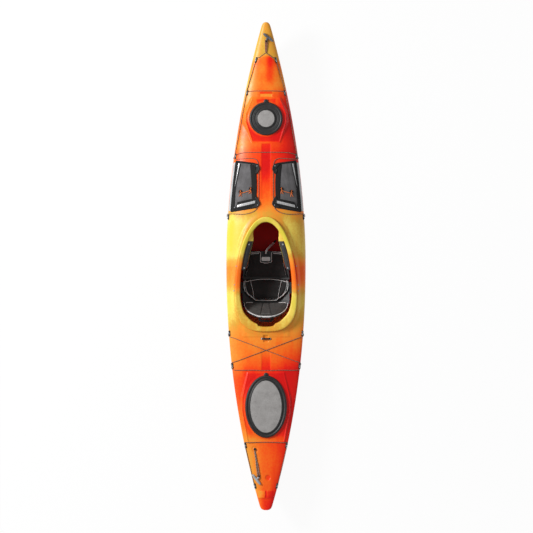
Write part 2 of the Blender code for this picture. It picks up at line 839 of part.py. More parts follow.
def dimple_block(name, grow, rise):
    level = fair(DECK_LINE, LOCK_LOOP_Y)
    low = (-DIMPLE_HALF[0] - grow, LOCK_LOOP_Y - DIMPLE_HALF[1] - grow, level - DIMPLE_DEPTH - grow)
    high = (DIMPLE_HALF[0] + grow, LOCK_LOOP_Y + DIMPLE_HALF[1] + grow, level + rise)
    return box(name, low, high, bevel=DIMPLE_BEVEL)


def plug_cutters():
    inner = STERN_Y + CAVITY_STERN_INSET + 0.02
    outside = (0, STERN_Y - 0.01, PLUG_Z)
    bore = turned("drain_bore", outside, (0, inner, PLUG_Z), ((0, PLUG_BORE), (1, PLUG_BORE)), 12)
    seat_end = (0, STERN_Y + PLUG_SEAT_DEPTH, PLUG_Z)
    radius = PLUG_SEAT_RADIUS + GAP
    seat = turned("drain_seat", outside, seat_end, ((0, radius), (1, radius)), 16)
    return bore, seat


def hull_shell():
    finish = material("rotomoulded polyethylene", (0.85, 0.22, 0.03), 0.28)
    shell = hull_loft("hull_shell", 0.0, STERN_Y, BOW_Y, finish)
    combine(shell, hatch_pad("bow_pad", BOW_HATCH_Y, *BOW_PAD), "UNION")
    combine(shell, hatch_pad("stern_pad", STERN_HATCH_Y, *STERN_PAD), "UNION")
    hollow = hull_loft("hollow", WALL, STERN_Y + CAVITY_STERN_INSET, BOW_Y - CAVITY_BOW_INSET)
    sides = ((-1, "left"), (1, "right"))
    for side, name in sides:
        tub = pocket_block(f"pocket_tub_{name}", side, WALL, POCKET_DEPTH + WALL, CUTTER_REACH)
        combine(hollow, tub, "DIFFERENCE")
    combine(hollow, dimple_block("dimple_tub", WALL, 0.02), "DIFFERENCE")
    combine(shell, hollow, "DIFFERENCE")
    for side, name in sides:
        recess = pocket_block(f"pocket_recess_{name}", side, 0.0, POCKET_DEPTH, CUTTER_REACH)
        combine(shell, recess, "DIFFERENCE")
    combine(shell, dimple_block("dimple", 0.0, 0.02), "DIFFERENCE")
    combine(shell, hatch_opening("bow_mouth", BOW_HATCH_Y, BOW_HATCH_HALF), "DIFFERENCE")
    combine(shell, hatch_opening("stern_mouth", STERN_HATCH_Y, STERN_HATCH_HALF), "DIFFERENCE")
    combine(shell, coaming_cutter(), "DIFFERENCE")
    combine(shell, hatch_collar("bow_collar", BOW_HATCH_Y, BOW_HATCH_HALF), "UNION")
    combine(shell, hatch_collar("stern_collar", STERN_HATCH_Y, STERN_HATCH_HALF), "UNION")
    combine(shell, coaming(), "UNION")
    for side, name in sides:
        combine(shell, thigh_ledge(f"thigh_ledge_{name}", side), "UNION")
    for cutter in plug_cutters():
        combine(shell, cutter, "DIFFERENCE")
    return shell


# The built shell's faces, which fittings are seated on.
def shell_faces(shell):
    bpy.context.view_layer.update()
    return BVHTree.FromObject(shell, bpy.context.evaluated_depsgraph_get())


# A frame on the deck with +Y along the given direction and +Z off the deck, raised until its
# footprint is clear of the shell.
def deck_seat(faces, x, y, direction, half_length, half_width):
    place, normal = deck_point(x, y)
    place, normal, _, _ = faces.find_nearest(place)
    forward = (direction - normal * direction.dot(normal)).normalized()
    across = forward.cross(normal)
    highest = 0.0
    for along in (-1, -0.5, 0, 0.5, 1):
        for aside in (-1, 0, 1):
            start = place + normal * 0.05 + forward * along * half_length + across * aside * half_width
            found = faces.ray_cast(start, -normal, 0.1)
            if found[0]:
                highest = max(highest, (found[0] - place).dot(normal))
    seat = place + normal * (highest + GAP + 0.0003)
    turn = Matrix((across, forward, normal)).transposed().to_4x4()
    return Matrix.Translation(seat) @ turn


def bulkhead(name, y, finish):
    return hull_loft(name, WALL + GAP, y, y + BULKHEAD_THICKNESS, finish)


# Where the pad eyes stand: name, distance in from the deck edge, place along the boat.
def eye_outline(height, bore):
    points = []
    for step in range(EYE_SIDES):
        angle = 2 * math.pi * step / EYE_SIDES + math.pi / EYE_SIDES
        across = math.cos(angle)
        up = math.sin(angle)
        if bore:
            radius = (LINE_RADIUS + EYE_BORE_PLAY) / math.cos(math.pi / EYE_SIDES)
            points.append((radius * across, EYE_BORE_HEIGHT + radius * up))
        else:
            width = EYE_HALF_WIDTH if up < 0 else EYE_TOP_HALF_WIDTH
            rise = (height - EYE_BORE_HEIGHT) * up * EYE_CROWN
            points.append((width * across, max(0.0, EYE_BORE_HEIGHT + rise)))
    return points


def pad_eye(name, seat, mesh, finish):
    if mesh is None:
        loops = []
        for share, height in EYE_PROFILE:
            loops.append([(x, share * EYE_HALF_LENGTH, z) for x, z in eye_outline(height, False)])
        for share in (1.0, -1.0):
            loops.append([(x, share * EYE_HALF_LENGTH, z) for x, z in eye_outline(0.0, True)])
        eye = loft(name, loops, finish, ring=True)
    else:
        eye = new_object(name, mesh, None)
    eye.matrix_world = seat
    return eye


def edge_direction(side, y):
    step = 0.02
    return Vector((side * (half_beam(y + step) - half_beam(y - step)), 2 * step, 0)).normalized()


def pad_eyes(faces):
    finish = material("black nylon fitting", (0.02, 0.02, 0.02), 0.45)
    seats = {}
    mesh = None
    for name, inset, y in EYE_PLACES:
        for side, side_name in ((-1, "left"), (1, "right")):
            x = side * (half_beam(y) - inset)
            seat = deck_seat(faces, x, y, edge_direction(side, y), EYE_HALF_LENGTH, EYE_HALF_WIDTH)
            eye = pad_eye(f"pad_eye_{name}_{side_name}", seat, mesh, finish)
            mesh = eye.data
            seats[name, side] = seat
    return seats


# The stretch of a line that runs through an eye, from its front end or its rear one.
def through_eye(seat, forward):
    reach = EYE_HALF_LENGTH + 0.004
    ends = [seat @ Vector((0, share * reach, EYE_BORE_HEIGHT)) for share in (-1, 1)]
    return ends if forward else ends[::-1]


# Points of a line that lies on the deck between two places, left out at both ends.
def laid(start, end, spacing):
    count = max(2, round((end - start).length / spacing))
    points = []
    for index in range(1, count):
        flat = start.lerp(end, index / count)
        place, normal = deck_point(flat.x, flat.y)
        points.append(place + normal * (LINE_RADIUS + LINE_CLEARANCE))
    return points


def laid_through(places, spacing):
    flat = [Vector((x, y, 0)) for x, y in places]
    points = []
    for start, end in zip(flat, flat[1:]):
        place, normal = deck_point(start.x, start.y)
        points.append(place + normal * (LINE_RADIUS + LINE_CLEARANCE))
        points.extend(laid(start, end, spacing))
    place, normal = deck_point(*places[-1])
    points.append(place + normal * (LINE_RADIUS + LINE_CLEARANCE))
    return points


def mirrored(points):
    return [Vector((-point.x, point.y, point.z)) for point in points]


# The inner side of a pocket, where the deck line passes from corner to corner.
def pocket_side_route():
    front = [(POCKET_INNER_X + x, POCKET_FRONT_Y + y) for x, y in ROUTE_AT_FRONT_CORNER]
    rear = [(POCKET_INNER_X + x, POCKET_REAR_Y + y) for x, y in ROUTE_AT_REAR_CORNER]
    return front + rear


def front_line_half(seats):
    middle = through_eye(seats["middle", 1], False)
    rear = through_eye(seats["pocket", 1], False)
    fore = through_eye(seats["fore", 1], False)
    bow = through_eye(seats["bow", 1], False)
    points = [bow[0], bow[1]]
    points += laid(bow[1], fore[0], LONG_SPAN) + fore
    points += laid(fore[1], middle[0], LONG_SPAN) + middle
    route = pocket_side_route()
    points += laid(middle[1], Vector((*route[0], 0)), CORNER_SPAN)
    points += laid_through(route, CORNER_SPAN)
    points += laid(Vector((*route[-1], 0)), rear[0], CORNER_SPAN)
    points += [rear[0], seats["pocket", 1] @ Vector((0, 0, EYE_BORE_HEIGHT))]
    return points


def front_deck_line(seats, finish):
    half = front_line_half(seats)
    apex, normal = deck_point(0, BOW_V_Y)
    apex += normal * (LINE_RADIUS + LINE_CLEARANCE)
    lead = laid(apex, half[0], SHORT_SPAN)
    starboard = lead + half
    points = mirrored(starboard)[::-1] + [apex] + starboard
    return tube("front_deck_line", points, LINE_RADIUS, finish)


# A line across the deck, whose ends meet the inner sides of two eyes.
def cross_line(name, seats, eye, bow_forward, finish):
    seat = seats[eye, 1]
    shift = EYE_HALF_WIDTH + LINE_RADIUS + CROSS_SIDE_CLEARANCE
    start = seat @ Vector((-shift, CROSS_START_AHEAD, 0.0))
    middle = Vector((0, start.y + bow_forward, 0))
    across, along = CROSS_SHOULDER
    shoulder = Vector((across * start.x, start.y + along * bow_forward, 0))
    route = [(start.x, start.y), (shoulder.x, shoulder.y), (middle.x, middle.y)]
    half = laid_through(route, CROSS_SPAN)
    points = half + mirrored(half[:-1])[::-1]
    return tube(name, points, LINE_RADIUS, finish)


# The bungee that crosses itself on the rear deck and returns ahead of the stern hatch.
def rear_bungee(seats, finish):
    cockpit = {side: through_eye(seats["cockpit", side], False) for side in (-1, 1)}
    rear = {side: through_eye(seats["rear_deck", side], False) for side in (-1, 1)}
    front = STERN_HATCH_Y + STERN_HATCH_HALF[1] + BUNGEE_OFF_COVER

    def strand(side, lift):
        start = cockpit[side][1]
        end = rear[-side][0]
        points = []
        count = max(4, round((end - start).length / BUNGEE_SPAN))
        for index in range(1, count):
            flat = start.lerp(end, index / count)
            place, normal = deck_point(flat.x, flat.y)
            near = max(0.0, 1 - abs(flat.x) / BUNGEE_CROSS_REACH)
            points.append(place + normal * (LINE_RADIUS + LINE_CLEARANCE + lift * near))
        return points

    inside = {side: seats["cockpit", side] @ Vector((0, 0, EYE_BORE_HEIGHT)) for side in (-1, 1)}
    points = [inside[-1], cockpit[-1][1]] + strand(-1, BUNGEE_CROSS_LIFT) + rear[1]
    turn = (rear[1][1].x - BUNGEE_TURN[0], rear[1][1].y - BUNGEE_TURN[1])
    back = laid_through((turn, (BUNGEE_BACK_X, front + BUNGEE_BACK_AHEAD), (0, front)), SHORT_SPAN)
    points += back + mirrored(back[:-1])[::-1]
    points += rear[-1][::-1] + strand(1, 0.0)[::-1] + [cockpit[1][1], inside[1]]
    return tube("rear_deck_bungee", points, LINE_RADIUS, finish)


def stern_deck_line(seats, finish):
    stern = through_eye(seats["stern", 1], True)
    aft = through_eye(seats["aft", 1], True)
    half = [seats["stern", 1] @ Vector((0, 0, EYE_BORE_HEIGHT)), stern[1]]
    half += laid(stern[1], aft[0], LONG_SPAN) + aft
    level = aft[1].y + STERN_TURN[1]
    turn = (aft[1].x - STERN_TURN[0], level)
    half += laid_through((turn, (STERN_SHOULDER * aft[1].x, level), (0, level)), SHORT_SPAN)
    points = half + mirrored(half[:-1])[::-1]
    return tube("stern_deck_line", points, LINE_RADIUS, finish)


def deck_lines(seats):
    finish = material("braided deck line", (0.24, 0.14, 0.09), 0.8)
    front_deck_line(seats, finish)
    cross_line("bow_cross_line", seats, "fore", BOW_CROSS_BULGE, finish)
    cross_line("fore_cross_line", seats, "middle", FORE_CROSS_BULGE, finish)
    rear_bungee(seats, finish)
    stern_deck_line(seats, finish)


def pocket_covers():
    mesh_finish = material("stretch mesh", (0.17, 0.17, 0.16), 0.85)
    edge_finish = material("black binding tape", (0.02, 0.02, 0.02), 0.8)
    for side, name in ((-1, "left"), (1, "right")):

        def surface(s, t, side=side):
            x, y = pocket_plan(s, t, MESH_LAP)
            place, normal = deck_point(x, y)
            low = place + normal * (GAP + MESH_CLEARANCE)
            high = low + normal * MESH_THICKNESS
            return Vector((side * high.x, high.y, high.z)), Vector((side * low.x, low.y, low.z))

        slab(f"pocket_mesh_{name}", surface, shares(6), shares(6), mesh_finish)
        edge = MESH_LAP + BINDING_RADIUS + BINDING_BESIDE_MESH
        along = shares(5)
        corners = [(s, 0) for s in along]
        corners += [(1, t) for t in along[1:]]
        corners += [(1 - s, 1) for s in along[1:]]
        corners += [(0, 1 - t) for t in along[1:-1]]
        points = []
        for s, t in corners:
            x, y = pocket_plan(s, t, edge)
            place, normal = deck_point(x, y)
            spot = place + normal * (BINDING_RADIUS + BINDING_LIFT)
            points.append((side * spot.x, spot.y, spot.z))
        binding = tube(f"pocket_binding_{name}", points, BINDING_RADIUS, edge_finish)
        binding.data.splines[0].use_cyclic_u = True


def toggle_lashing(name, start, end, near, twists, finish):
    left = []
    right = []
    count = 8 if twists == 0 else 14
    for index in range(count + 1):
        share = index / count
        flat = start.lerp(end, share)
        place, normal = deck_point(flat.x, flat.y)
        along = (end - start).normalized()
        across = along.cross(normal).normalized()
        wound = max(0.0, 1 - share / near) if near else 0.0
        angle = math.pi * 2 * twists * wound
        lift = LASHING_RADIUS + LASHING_CLEARANCE + (LASHING_SPREAD if twists else 0.0)
        centre = place + normal * lift
        aside = across * math.cos(angle) + normal * math.sin(angle)
        left.append(centre + aside * LASHING_SPREAD)
        right.append(centre - aside * LASHING_SPREAD)
    bend = (left[0] + right[0]) / 2 - (end - start).normalized() * LASHING_SPREAD
    return tube(name, right[::-1] + [bend] + left, LASHING_RADIUS, finish)


def toggle(name, faces, boss, angle, finish):
    place, normal = deck_point(*boss)
    level = normal * (TOGGLE_RADIUS + TOGGLE_CLEARANCE)
    across = Vector((math.cos(angle), math.sin(angle), 0))
    ahead = Vector((-across.y, across.x, 0)) * (1 if boss[1] > 0 else -1)
    centre = place + ahead * TOGGLE_AHEAD
    levels = {}
    for share in (-1, -0.8, -0.5, -0.25, 0, 0.25, 0.5, 0.8, 1):
        spot = centre + across * share * TOGGLE_HALF
        found, normal, _, _ = faces.ray_cast(Vector((spot.x, spot.y, 1)), Vector((0, 0, -1)))
        levels[share] = found.z + (straight(TOGGLE_RADII, abs(share)) + GAP) / normal.z
    middle = (levels[-0.8] + levels[0.8]) / 2
    slope = (levels[0.8] - levels[-0.8]) / 1.6
    lift = max(level - middle - slope * share for share, level in levels.items())
    ends = []
    for sign in (-1, 1):
        tip = centre + across * sign * TOGGLE_HALF
        ends.append(Vector((tip.x, tip.y, middle + lift + slope * sign)))
    profile = (
        (0.0, TOGGLE_END_RADIUS),
        (0.06, TOGGLE_NECK_RADIUS),
        (0.30, TOGGLE_RADIUS),
        (0.70, TOGGLE_RADIUS),
        (0.94, TOGGLE_NECK_RADIUS),
        (1.0, TOGGLE_END_RADIUS),
    )
    bar = turned(name, ends[0], ends[1], profile, 12, finish)
    top = (ends[0] + ends[1]) / 2
    base = place + level
    waist = BOSS_WAIST * BOSS_RADIUS
    neck_profile = ((0, waist), (0.3, BOSS_RADIUS), (1, waist))
    neck = turned(f"{name}_boss_shape", base - ahead * BOSS_REACH_BACK, top, neck_profile, 10)
    combine(bar, neck, "UNION")
    return bar


def toggles(faces):
    grip = material("grey moulded nylon", (0.08, 0.08, 0.085), 0.45)
    cord = material("lashing cord", (0.20, 0.10, 0.06), 0.8)
    apex = Vector((0, BOW_V_Y + LINE_RADIUS + 2 * LASHING_RADIUS + 0.0030, 0))
    bow_boss = Vector((BOW_BOSS[0], BOW_BOSS[1], 0))
    bow_end = bow_boss + (apex - bow_boss).normalized() * (BOSS_RADIUS + BOSS_TO_CORD)
    bow_bar = toggle("bow_toggle", faces, BOW_BOSS, BOW_TOGGLE_ANGLE, grip)
    bow_cord = toggle_lashing("bow_toggle_lashing", apex, bow_end, 0, 0, cord)
    hinge, normal = deck_point(0, BOW_V_Y)
    hang_on(joint_empty("bow_toggle_joint", hinge + normal * LINE_RADIUS), bow_bar, bow_cord)

    anchor_finish = material("black nylon anchor", (0.03, 0.03, 0.03), 0.5)
    anchor = (-STERN_ANCHOR_SHARE * half_beam(STERN_ANCHOR_Y), STERN_ANCHOR_Y)
    boss = (-STERN_BOSS_SHARE * half_beam(STERN_BOSS_Y), STERN_BOSS_Y)
    seat = deck_seat(faces, *anchor, Vector((0, 1, 0)), ANCHOR_RADIUS, ANCHOR_RADIUS)
    low = seat @ Vector((0, 0, 0))
    high = seat @ Vector((0, 0, ANCHOR_HEIGHT))
    turned("stern_toggle_anchor", low, high, ANCHOR_PROFILE, 12, anchor_finish)
    stern_start = Vector((*anchor, 0))
    stern_boss = Vector((*boss, 0))
    along = (stern_boss - stern_start).normalized()
    begin = stern_start + along * (ANCHOR_RADIUS + 2 * LASHING_RADIUS + 0.0015)
    end = stern_boss - along * (BOSS_RADIUS + BOSS_TO_CORD)
    stern_bar = toggle("stern_toggle", faces, boss, STERN_TOGGLE_ANGLE, grip)
    stern_cord = toggle_lashing("stern_toggle_lashing", begin, end, 0.45, 1.0, cord)
    knot, normal = deck_point(*(begin - along * (0.0022 + 2 * LASHING_RADIUS)).xy)
    hinge = knot + normal * (2 * LASHING_RADIUS + 0.0022 + LASHING_CLEARANCE)
    hang_on(joint_empty("stern_toggle_joint", hinge), stern_bar, stern_cord)


def lock_loop(faces):
    finish = material("stainless bar", (0.55, 0.55, 0.55), 0.3, 1.0)
    seat = deck_seat(faces, 0, LOCK_LOOP_Y, Vector((0, 1, 0)), LOCK_LOOP_HALF_WIDTH, LOCK_LOOP_HALF)

    def surface(s, t):
        x = LOCK_LOOP_HALF * (2 * s - 1)
        from_foot = LOCK_LOOP_HALF - LOCK_LOOP_FOOT - abs(x)
        share = min(1.0, max(0.0, from_foot / LOCK_LOOP_RAMP))
        y = LOCK_LOOP_HALF_WIDTH * (2 * t - 1)
        low = LOCK_LOOP_RISE * share
        return seat @ Vector((x, y, low + LOCK_LOOP_THICKNESS)), seat @ Vector((x, y, low))

    return slab("lock_loop", surface, shares(14), shares(1), finish)


def drain_plug():
    finish = material("black plug", (0.03, 0.03, 0.03), 0.5)
    start = (0, STERN_Y + PLUG_SUNK, PLUG_Z)
    end = (0, STERN_Y + PLUG_REACH, PLUG_Z)
    shank = PLUG_BORE - GAP
    profile = (
        (0.0, 0.7 * PLUG_SEAT_RADIUS),
        (0.05, PLUG_SEAT_RADIUS),
        (0.22, PLUG_SEAT_RADIUS),
        (0.23, shank),
        (1.0, shank),
    )
    plug = turned("drain_plug", start, end, profile, 16, finish)
    slot_low = (-SLOT_HALF_WIDTH, STERN_Y - SLOT_OUTSIDE, PLUG_Z - SLOT_HALF_LENGTH)
    slot_high = (SLOT_HALF_WIDTH, STERN_Y + SLOT_BOTTOM, PLUG_Z + SLOT_HALF_LENGTH)
    slot = box("plug_slot", slot_low, slot_high)
    combine(plug, slot, "DIFFERENCE")
    hang_on(joint_empty("drain_plug_joint", (0, STERN_Y, PLUG_Z)), plug)
    return plug


# The pan is flat in the middle and slopes up at its sides.
def pan_top(x, y):
    side = max(0.0, abs(x) - PAN_FLAT_HALF) / (PAN_HALF - PAN_FLAT_HALF)
    return straight(PAN_LINE, y) + PAN_BOLSTER * side


# Rows of a piece that follows the pan, with one at each of the pan's own bends.
def pan_rows(rear, front):
    return [rear] + [y for y, _ in PAN_LINE if rear + 0.002 < y < front - 0.002] + [front]


# A plate over the pan, with its top and bottom at the given heights above the pan.
def pan_plate(name, rear, front, half_at, high, low, finish=None):
    def surface(column, y):
        x = column * (half_at(y) if abs(column) == 1 else PAN_FLAT_HALF * 2)
        level = pan_top(x, y)
        return Vector((x, y, level + high)), Vector((x, y, level + low))

    return slab(name, surface, (-1, -0.5, 0.5, 1), pan_rows(rear, front), finish)


def pan_half(y):
    toward_front = max(0.0, (y - SEAT_SPLIT_Y) / (SEAT_FRONT_Y - SEAT_SPLIT_Y))
    return PAN_HALF - 0.036 * toward_front**2


def seat_pan():
    finish = material("moulded seat pan", (0.03, 0.03, 0.03), 0.5)
    rear = SEAT_REAR_Y - 0.050
    pan = pan_plate("seat_pan", rear, SEAT_FRONT_Y, pan_half, 0.0, -PAN_THICKNESS, finish)
    for side, name in ((-1, "left"), (1, "right")):

        def runner(s, y, side=side):
            x = side * RUNNER_X + RUNNER_HALF * (2 * s - 1)
            return Vector((x, y, straight(PAN_LINE, y) - 0.5 * PAN_THICKNESS)), Vector((x, y, -0.01))

        rows = pan_rows(rear + 0.02, SEAT_FRONT_Y - 0.02)
        combine(pan, slab(f"runner_{name}", runner, (0, 1), rows), "UNION")
    for side, name in ((-1, "left"), (1, "right")):
        inner = side * (BACK_HALF + GAP + 0.001)
        outer = inner + side * EAR_THICKNESS
        foot_low = (min(inner, outer), BACK_PIVOT_Y - EAR_RADIUS, BACK_PIVOT_Z - 0.030)
        foot_high = (max(inner, outer), BACK_PIVOT_Y + EAR_RADIUS, BACK_PIVOT_Z)
        combine(pan, box(f"ear_foot_{name}", foot_low, foot_high), "UNION")
        ends = [(x, BACK_PIVOT_Y, BACK_PIVOT_Z) for x in (inner, outer)]
        combine(pan, turned(f"ear_{name}", *ends, ((0, EAR_RADIUS), (1, EAR_RADIUS)), 16), "UNION")
        combine(pan, pin_hole(f"ear_hole_{name}", side), "DIFFERENCE")
    combine(pan, inside_space("pan_space"), "INTERSECT")
    return pan


def pin_hole(name, side):
    ends = [(side * x, BACK_PIVOT_Y, BACK_PIVOT_Z) for x in (0.5 * BACK_HALF, 1.5 * BACK_HALF)]
    return turned(name, *ends, ((0, PIN_RADIUS + GAP), (1, PIN_RADIUS + GAP)), 12)


def lift_plate():
    finish = material("leg rest plate", (0.03, 0.03, 0.03), 0.5)
    rear = SEAT_SPLIT_Y + 0.008
    front = SEAT_FRONT_Y - 0.002

    def half_at(y):
        return LIFT_PLATE_HALF - 0.020 * (y - rear) / (front - rear)

    low = GAP + 0.0003
    return pan_plate("leg_lift_plate", rear, front, half_at, low + LIFT_PLATE_THICKNESS, low, finish)


# Crown of a cushion: full in the middle, drawn in towards its edges.
def crown(s, t):
    across = 1 - abs(2 * s - 1) ** 4
    along = 1 - abs(2 * t - 1) ** 4
    return math.sqrt(max(0.0, across * along))


def leg_cushion():
    finish = material("black seat fabric", (0.015, 0.015, 0.015), 0.8)
    length = SEAT_FRONT_Y - SEAT_SPLIT_Y - 0.0065

    def surface(s, t):
        y = SEAT_SPLIT_Y + 0.0065 + length * t
        half = LEG_CUSHION_HALF - 0.044 * t**0.7
        x = half * (2 * s - 1)
        low = pan_top(x, y) + LIFT_PLATE_THICKNESS + 2 * GAP + 0.0008
        rise = 0.010 + (CUSHION_THICKNESS - 0.010) * crown(s, t)
        return Vector((x, y, low + rise)), Vector((x, y, low))

    cushion = slab("leg_rest_cushion", surface, shares(12), shares(8), finish)
    notch_low = (-0.043, SEAT_FRONT_Y - 0.092, 0.0)
    notch_high = (0.043, SEAT_FRONT_Y + 0.050, 0.3)
    combine(cushion, box("cushion_notch", notch_low, notch_high, bevel=0.012), "DIFFERENCE")
    return cushion


def lift_level(y):
    return pan_top(0, y) + LIFT_PLATE_THICKNESS + 2 * GAP + LIFT_CLEARANCE


def lift_buckle():
    finish = material("grey buckle", (0.3, 0.3, 0.3), 0.4)
    width, length, height = BUCKLE_SIZE

    def surface(s, t):
        place = BUCKLE_Y + length * (t - 0.5)
        low = lift_level(place)
        x = width * (s - 0.5)
        high = low + height - BUCKLE_CROWN * abs(2 * s - 1)
        return Vector((x, place, high)), Vector((x, place, low))

    return slab("leg_lift_buckle", surface, shares(6), shares(3), finish)


# A flat strap of the given width along a route, with its flat side facing the normal.
def strap(name, route, width_direction, half_width, thickness, finish):
    loops = []
    for index, point in enumerate(route):
        before = route[max(0, index - 1)]
        after = route[min(len(route) - 1, index + 1)]
        along = (after - before).normalized()
        across = (width_direction - along * width_direction.dot(along)).normalized() * half_width
        up = along.cross(across).normalized() * thickness / 2
        loops.append([point - across - up, point + across - up, point + across + up, point - across + up])
    return loft(name, loops, finish)


def lift_strap():
    finish = material("grey webbing", (0.35, 0.35, 0.35), 0.8)
    start = lift_level(SEAT_FRONT_Y - STRAP_START_BEHIND) + STRAP_START_LIFT
    route = [Vector((x, SEAT_FRONT_Y + ahead, start + rise)) for x, ahead, rise in STRAP_DROP]
    route += [Vector((x, SEAT_FRONT_Y + ahead, z)) for x, ahead, z in STRAP_TAIL]
    direction = Vector(STRAP_WIDTH_DIRECTION)
    return strap("leg_lift_strap", route, direction, STRAP_HALF_WIDTH, STRAP_THICKNESS, finish)


def seat_cushion():
    finish = material("black seat fabric, rear", (0.02, 0.02, 0.02), 0.8)
    length = SEAT_SPLIT_Y - 0.003 - SEAT_REAR_Y

    def surface(s, t):
        y = SEAT_REAR_Y + length * t
        half = SEAT_CUSHION_HALF * (1 - SEAT_CUSHION_TAPER * (1 - t) ** SEAT_CUSHION_TAPER_POWER)
        x = half * (2 * s - 1)
        low = pan_top(x, y) + GAP + 0.0005
        wing = CUSHION_WING_RISE * abs(2 * s - 1) ** 2
        rise = CUSHION_EDGE_RISE + CUSHION_THICKNESS * crown(s, t) + wing
        return Vector((x, y, low + rise)), Vector((x, y, low))

    return slab("seat_cushion", surface, shares(14), shares(8), finish)


def hip_bracket(name, side, finish):
    y = COAMING_WIDEST_Y + 0.053
    foot = PAN_HALF + GAP + 0.0004
    route = [(foot + outboard, z) for outboard, z in BRACKET_ROUTE]

    def surface(s, t):
        span = t * (len(route) - 1)
        index = min(int(span), len(route) - 2)
        share = span - index
        x = route[index][0] + (route[index + 1][0] - route[index][0]) * share
        z = route[index][1] + (route[index + 1][1] - route[index][1]) * share
        place = y + BRACKET_HALF_LENGTH * (2 * s - 1)
        return Vector((side * x, place, z)), Vector((side * (x + BRACKET_THICKNESS), place, z))

    bracket = slab(name, surface, shares(2), shares(4), finish)
    combine(bracket, inside_space(f"{name}_space"), "INTERSECT")
    return bracket


# A point of the backrest: s across, t up its slope, depth forwards from its rear face.
def back_point(s, t, depth, margin):
    half = (BACK_HALF - margin) * (1 - (BACK_TOP_SHARE * t) ** BACK_ROUND) ** (1 / BACK_ROUND)
    return back_place(half * (2 * s - 1), BACK_LOW + (BACK_HEIGHT - margin) * t, depth)


# The backrest is a shell that wraps forwards at its sides.
def back_place(x, up, depth):
    forward = depth + BACK_WRAP * (x / BACK_HALF) ** 2
    y = BACK_PIVOT_Y - up * math.sin(BACK_LEAN) + forward * math.cos(BACK_LEAN)
    z = BACK_PIVOT_Z + up * math.cos(BACK_LEAN) + forward * math.sin(BACK_LEAN)
    return Vector((x, y, z))


def backrest():
    frame_finish = material("backrest frame", (0.03, 0.03, 0.03), 0.45)
    cushion_finish = material("charcoal back fabric", (0.045, 0.043, 0.042), 0.8)
    handle_finish = material("black webbing handle", (0.02, 0.02, 0.02), 0.8)

    def frame_surface(s, t):
        high = back_point(s, t, BACK_FRAME_THICKNESS, BACK_MARGIN)
        return high, back_point(s, t, 0.0, BACK_MARGIN)

    def cushion_surface(s, t):
        base = BACK_FRAME_THICKNESS + 0.001
        along = 0.5 * (1 + t) if t > 0.5 else 0.2 + 1.1 * t
        rise = CUSHION_EDGE_RISE + (BACK_CUSHION_THICKNESS - CUSHION_EDGE_RISE) * crown(s, along)
        return back_point(s, t, base + rise, 0.0), back_point(s, t, base, 0.0)

    frame = slab("backrest_frame", frame_surface, shares(12), shares(8), frame_finish)
    for side, name in ((-1, "left"), (1, "right")):
        outer = side * BACK_HALF
        inner = outer - side * EAR_THICKNESS
        ends = [(x, BACK_PIVOT_Y, BACK_PIVOT_Z) for x in (inner, outer)]
        combine(frame, turned(f"lug_{name}", *ends, ((0, LUG_RADIUS), (1, LUG_RADIUS)), 16), "UNION")
        low = (min(inner, outer), BACK_PIVOT_Y - 0.010, BACK_PIVOT_Z)
        high = (max(inner, outer), BACK_PIVOT_Y + 0.004, BACK_PIVOT_Z + 0.030)
        combine(frame, box(f"lug_arm_{name}", low, high), "UNION")
        combine(frame, pin_hole(f"lug_hole_{name}", side), "DIFFERENCE")
    cushion = slab("backrest_cushion", cushion_surface, shares(12), shares(8), cushion_finish)
    up = HANDLE_UP * BACK_HEIGHT
    seat = -GAP - HANDLE_CLEARANCE - HANDLE_THICKNESS / 2
    route = []
    for x, back in HANDLE_ROUTE:
        route.append(back_place(-x * HANDLE_HALF, up, seat - back))
    route += mirrored(route[::-1])
    along = back_place(0, up, 0) - back_place(0, 0, 0)
    size = (HANDLE_HALF_WIDTH, HANDLE_THICKNESS)
    handle = strap("backrest_handle", route, along, *size, handle_finish)
    pivot = joint_empty("backrest_joint", (0, BACK_PIVOT_Y, BACK_PIVOT_Z))
    hang_on(pivot, frame, cushion, handle)


def back_pins():
    finish = material("pivot pin steel", (0.5, 0.5, 0.5), 0.35, 1.0)
    for side, name in ((-1, "left"), (1, "right")):
        start = (side * (BACK_HALF - EAR_THICKNESS - 0.003), BACK_PIVOT_Y, BACK_PIVOT_Z)
        reach = BACK_HALF + EAR_THICKNESS + 0.0045
        end = (side * reach, BACK_PIVOT_Y, BACK_PIVOT_Z)
        head = 0.86
        shank = ((0, PIN_RADIUS), (head, PIN_RADIUS))
        profile = (*shank, (head + 0.001, PIN_HEAD_RADIUS), (1, 0.8 * PIN_HEAD_RADIUS))
        turned(f"backrest_pin_{name}", start, end, profile, 12, finish)


def thigh_brace(name, side, finish):
    def surface(s, t):
        t = BRACE_END_SHARE + (1 - 2 * BRACE_END_SHARE) * t
        across = BRACE_EDGE_SHARE + BRACE_WIDTH_SHARE * s
        low = ledge_surface(side, across, t, GAP + BRACE_CLEARANCE)
        high = ledge_surface(side, across, t, GAP + BRACE_CLEARANCE + BRACE_THICKNESS)
        return high, low

    return slab(name, surface, shares(4), shares(8), finish)


def thigh_pad(name, side, finish):
    def surface(s, t):
        full = crown(s, t)
        t = BRACE_END_SHARE + (1 - 2 * BRACE_END_SHARE) * t
        across = PAD_EDGE_SHARE + PAD_WIDTH_SHARE * s
        high = ledge_surface(side, across, t, -LEDGE_THICKNESS - GAP - 0.0008)
        low = ledge_surface(side, across, t, -LEDGE_THICKNESS - 0.006 - 0.012 * full)
        return high, low

    return slab(name, surface, shares(6), shares(8), finish)


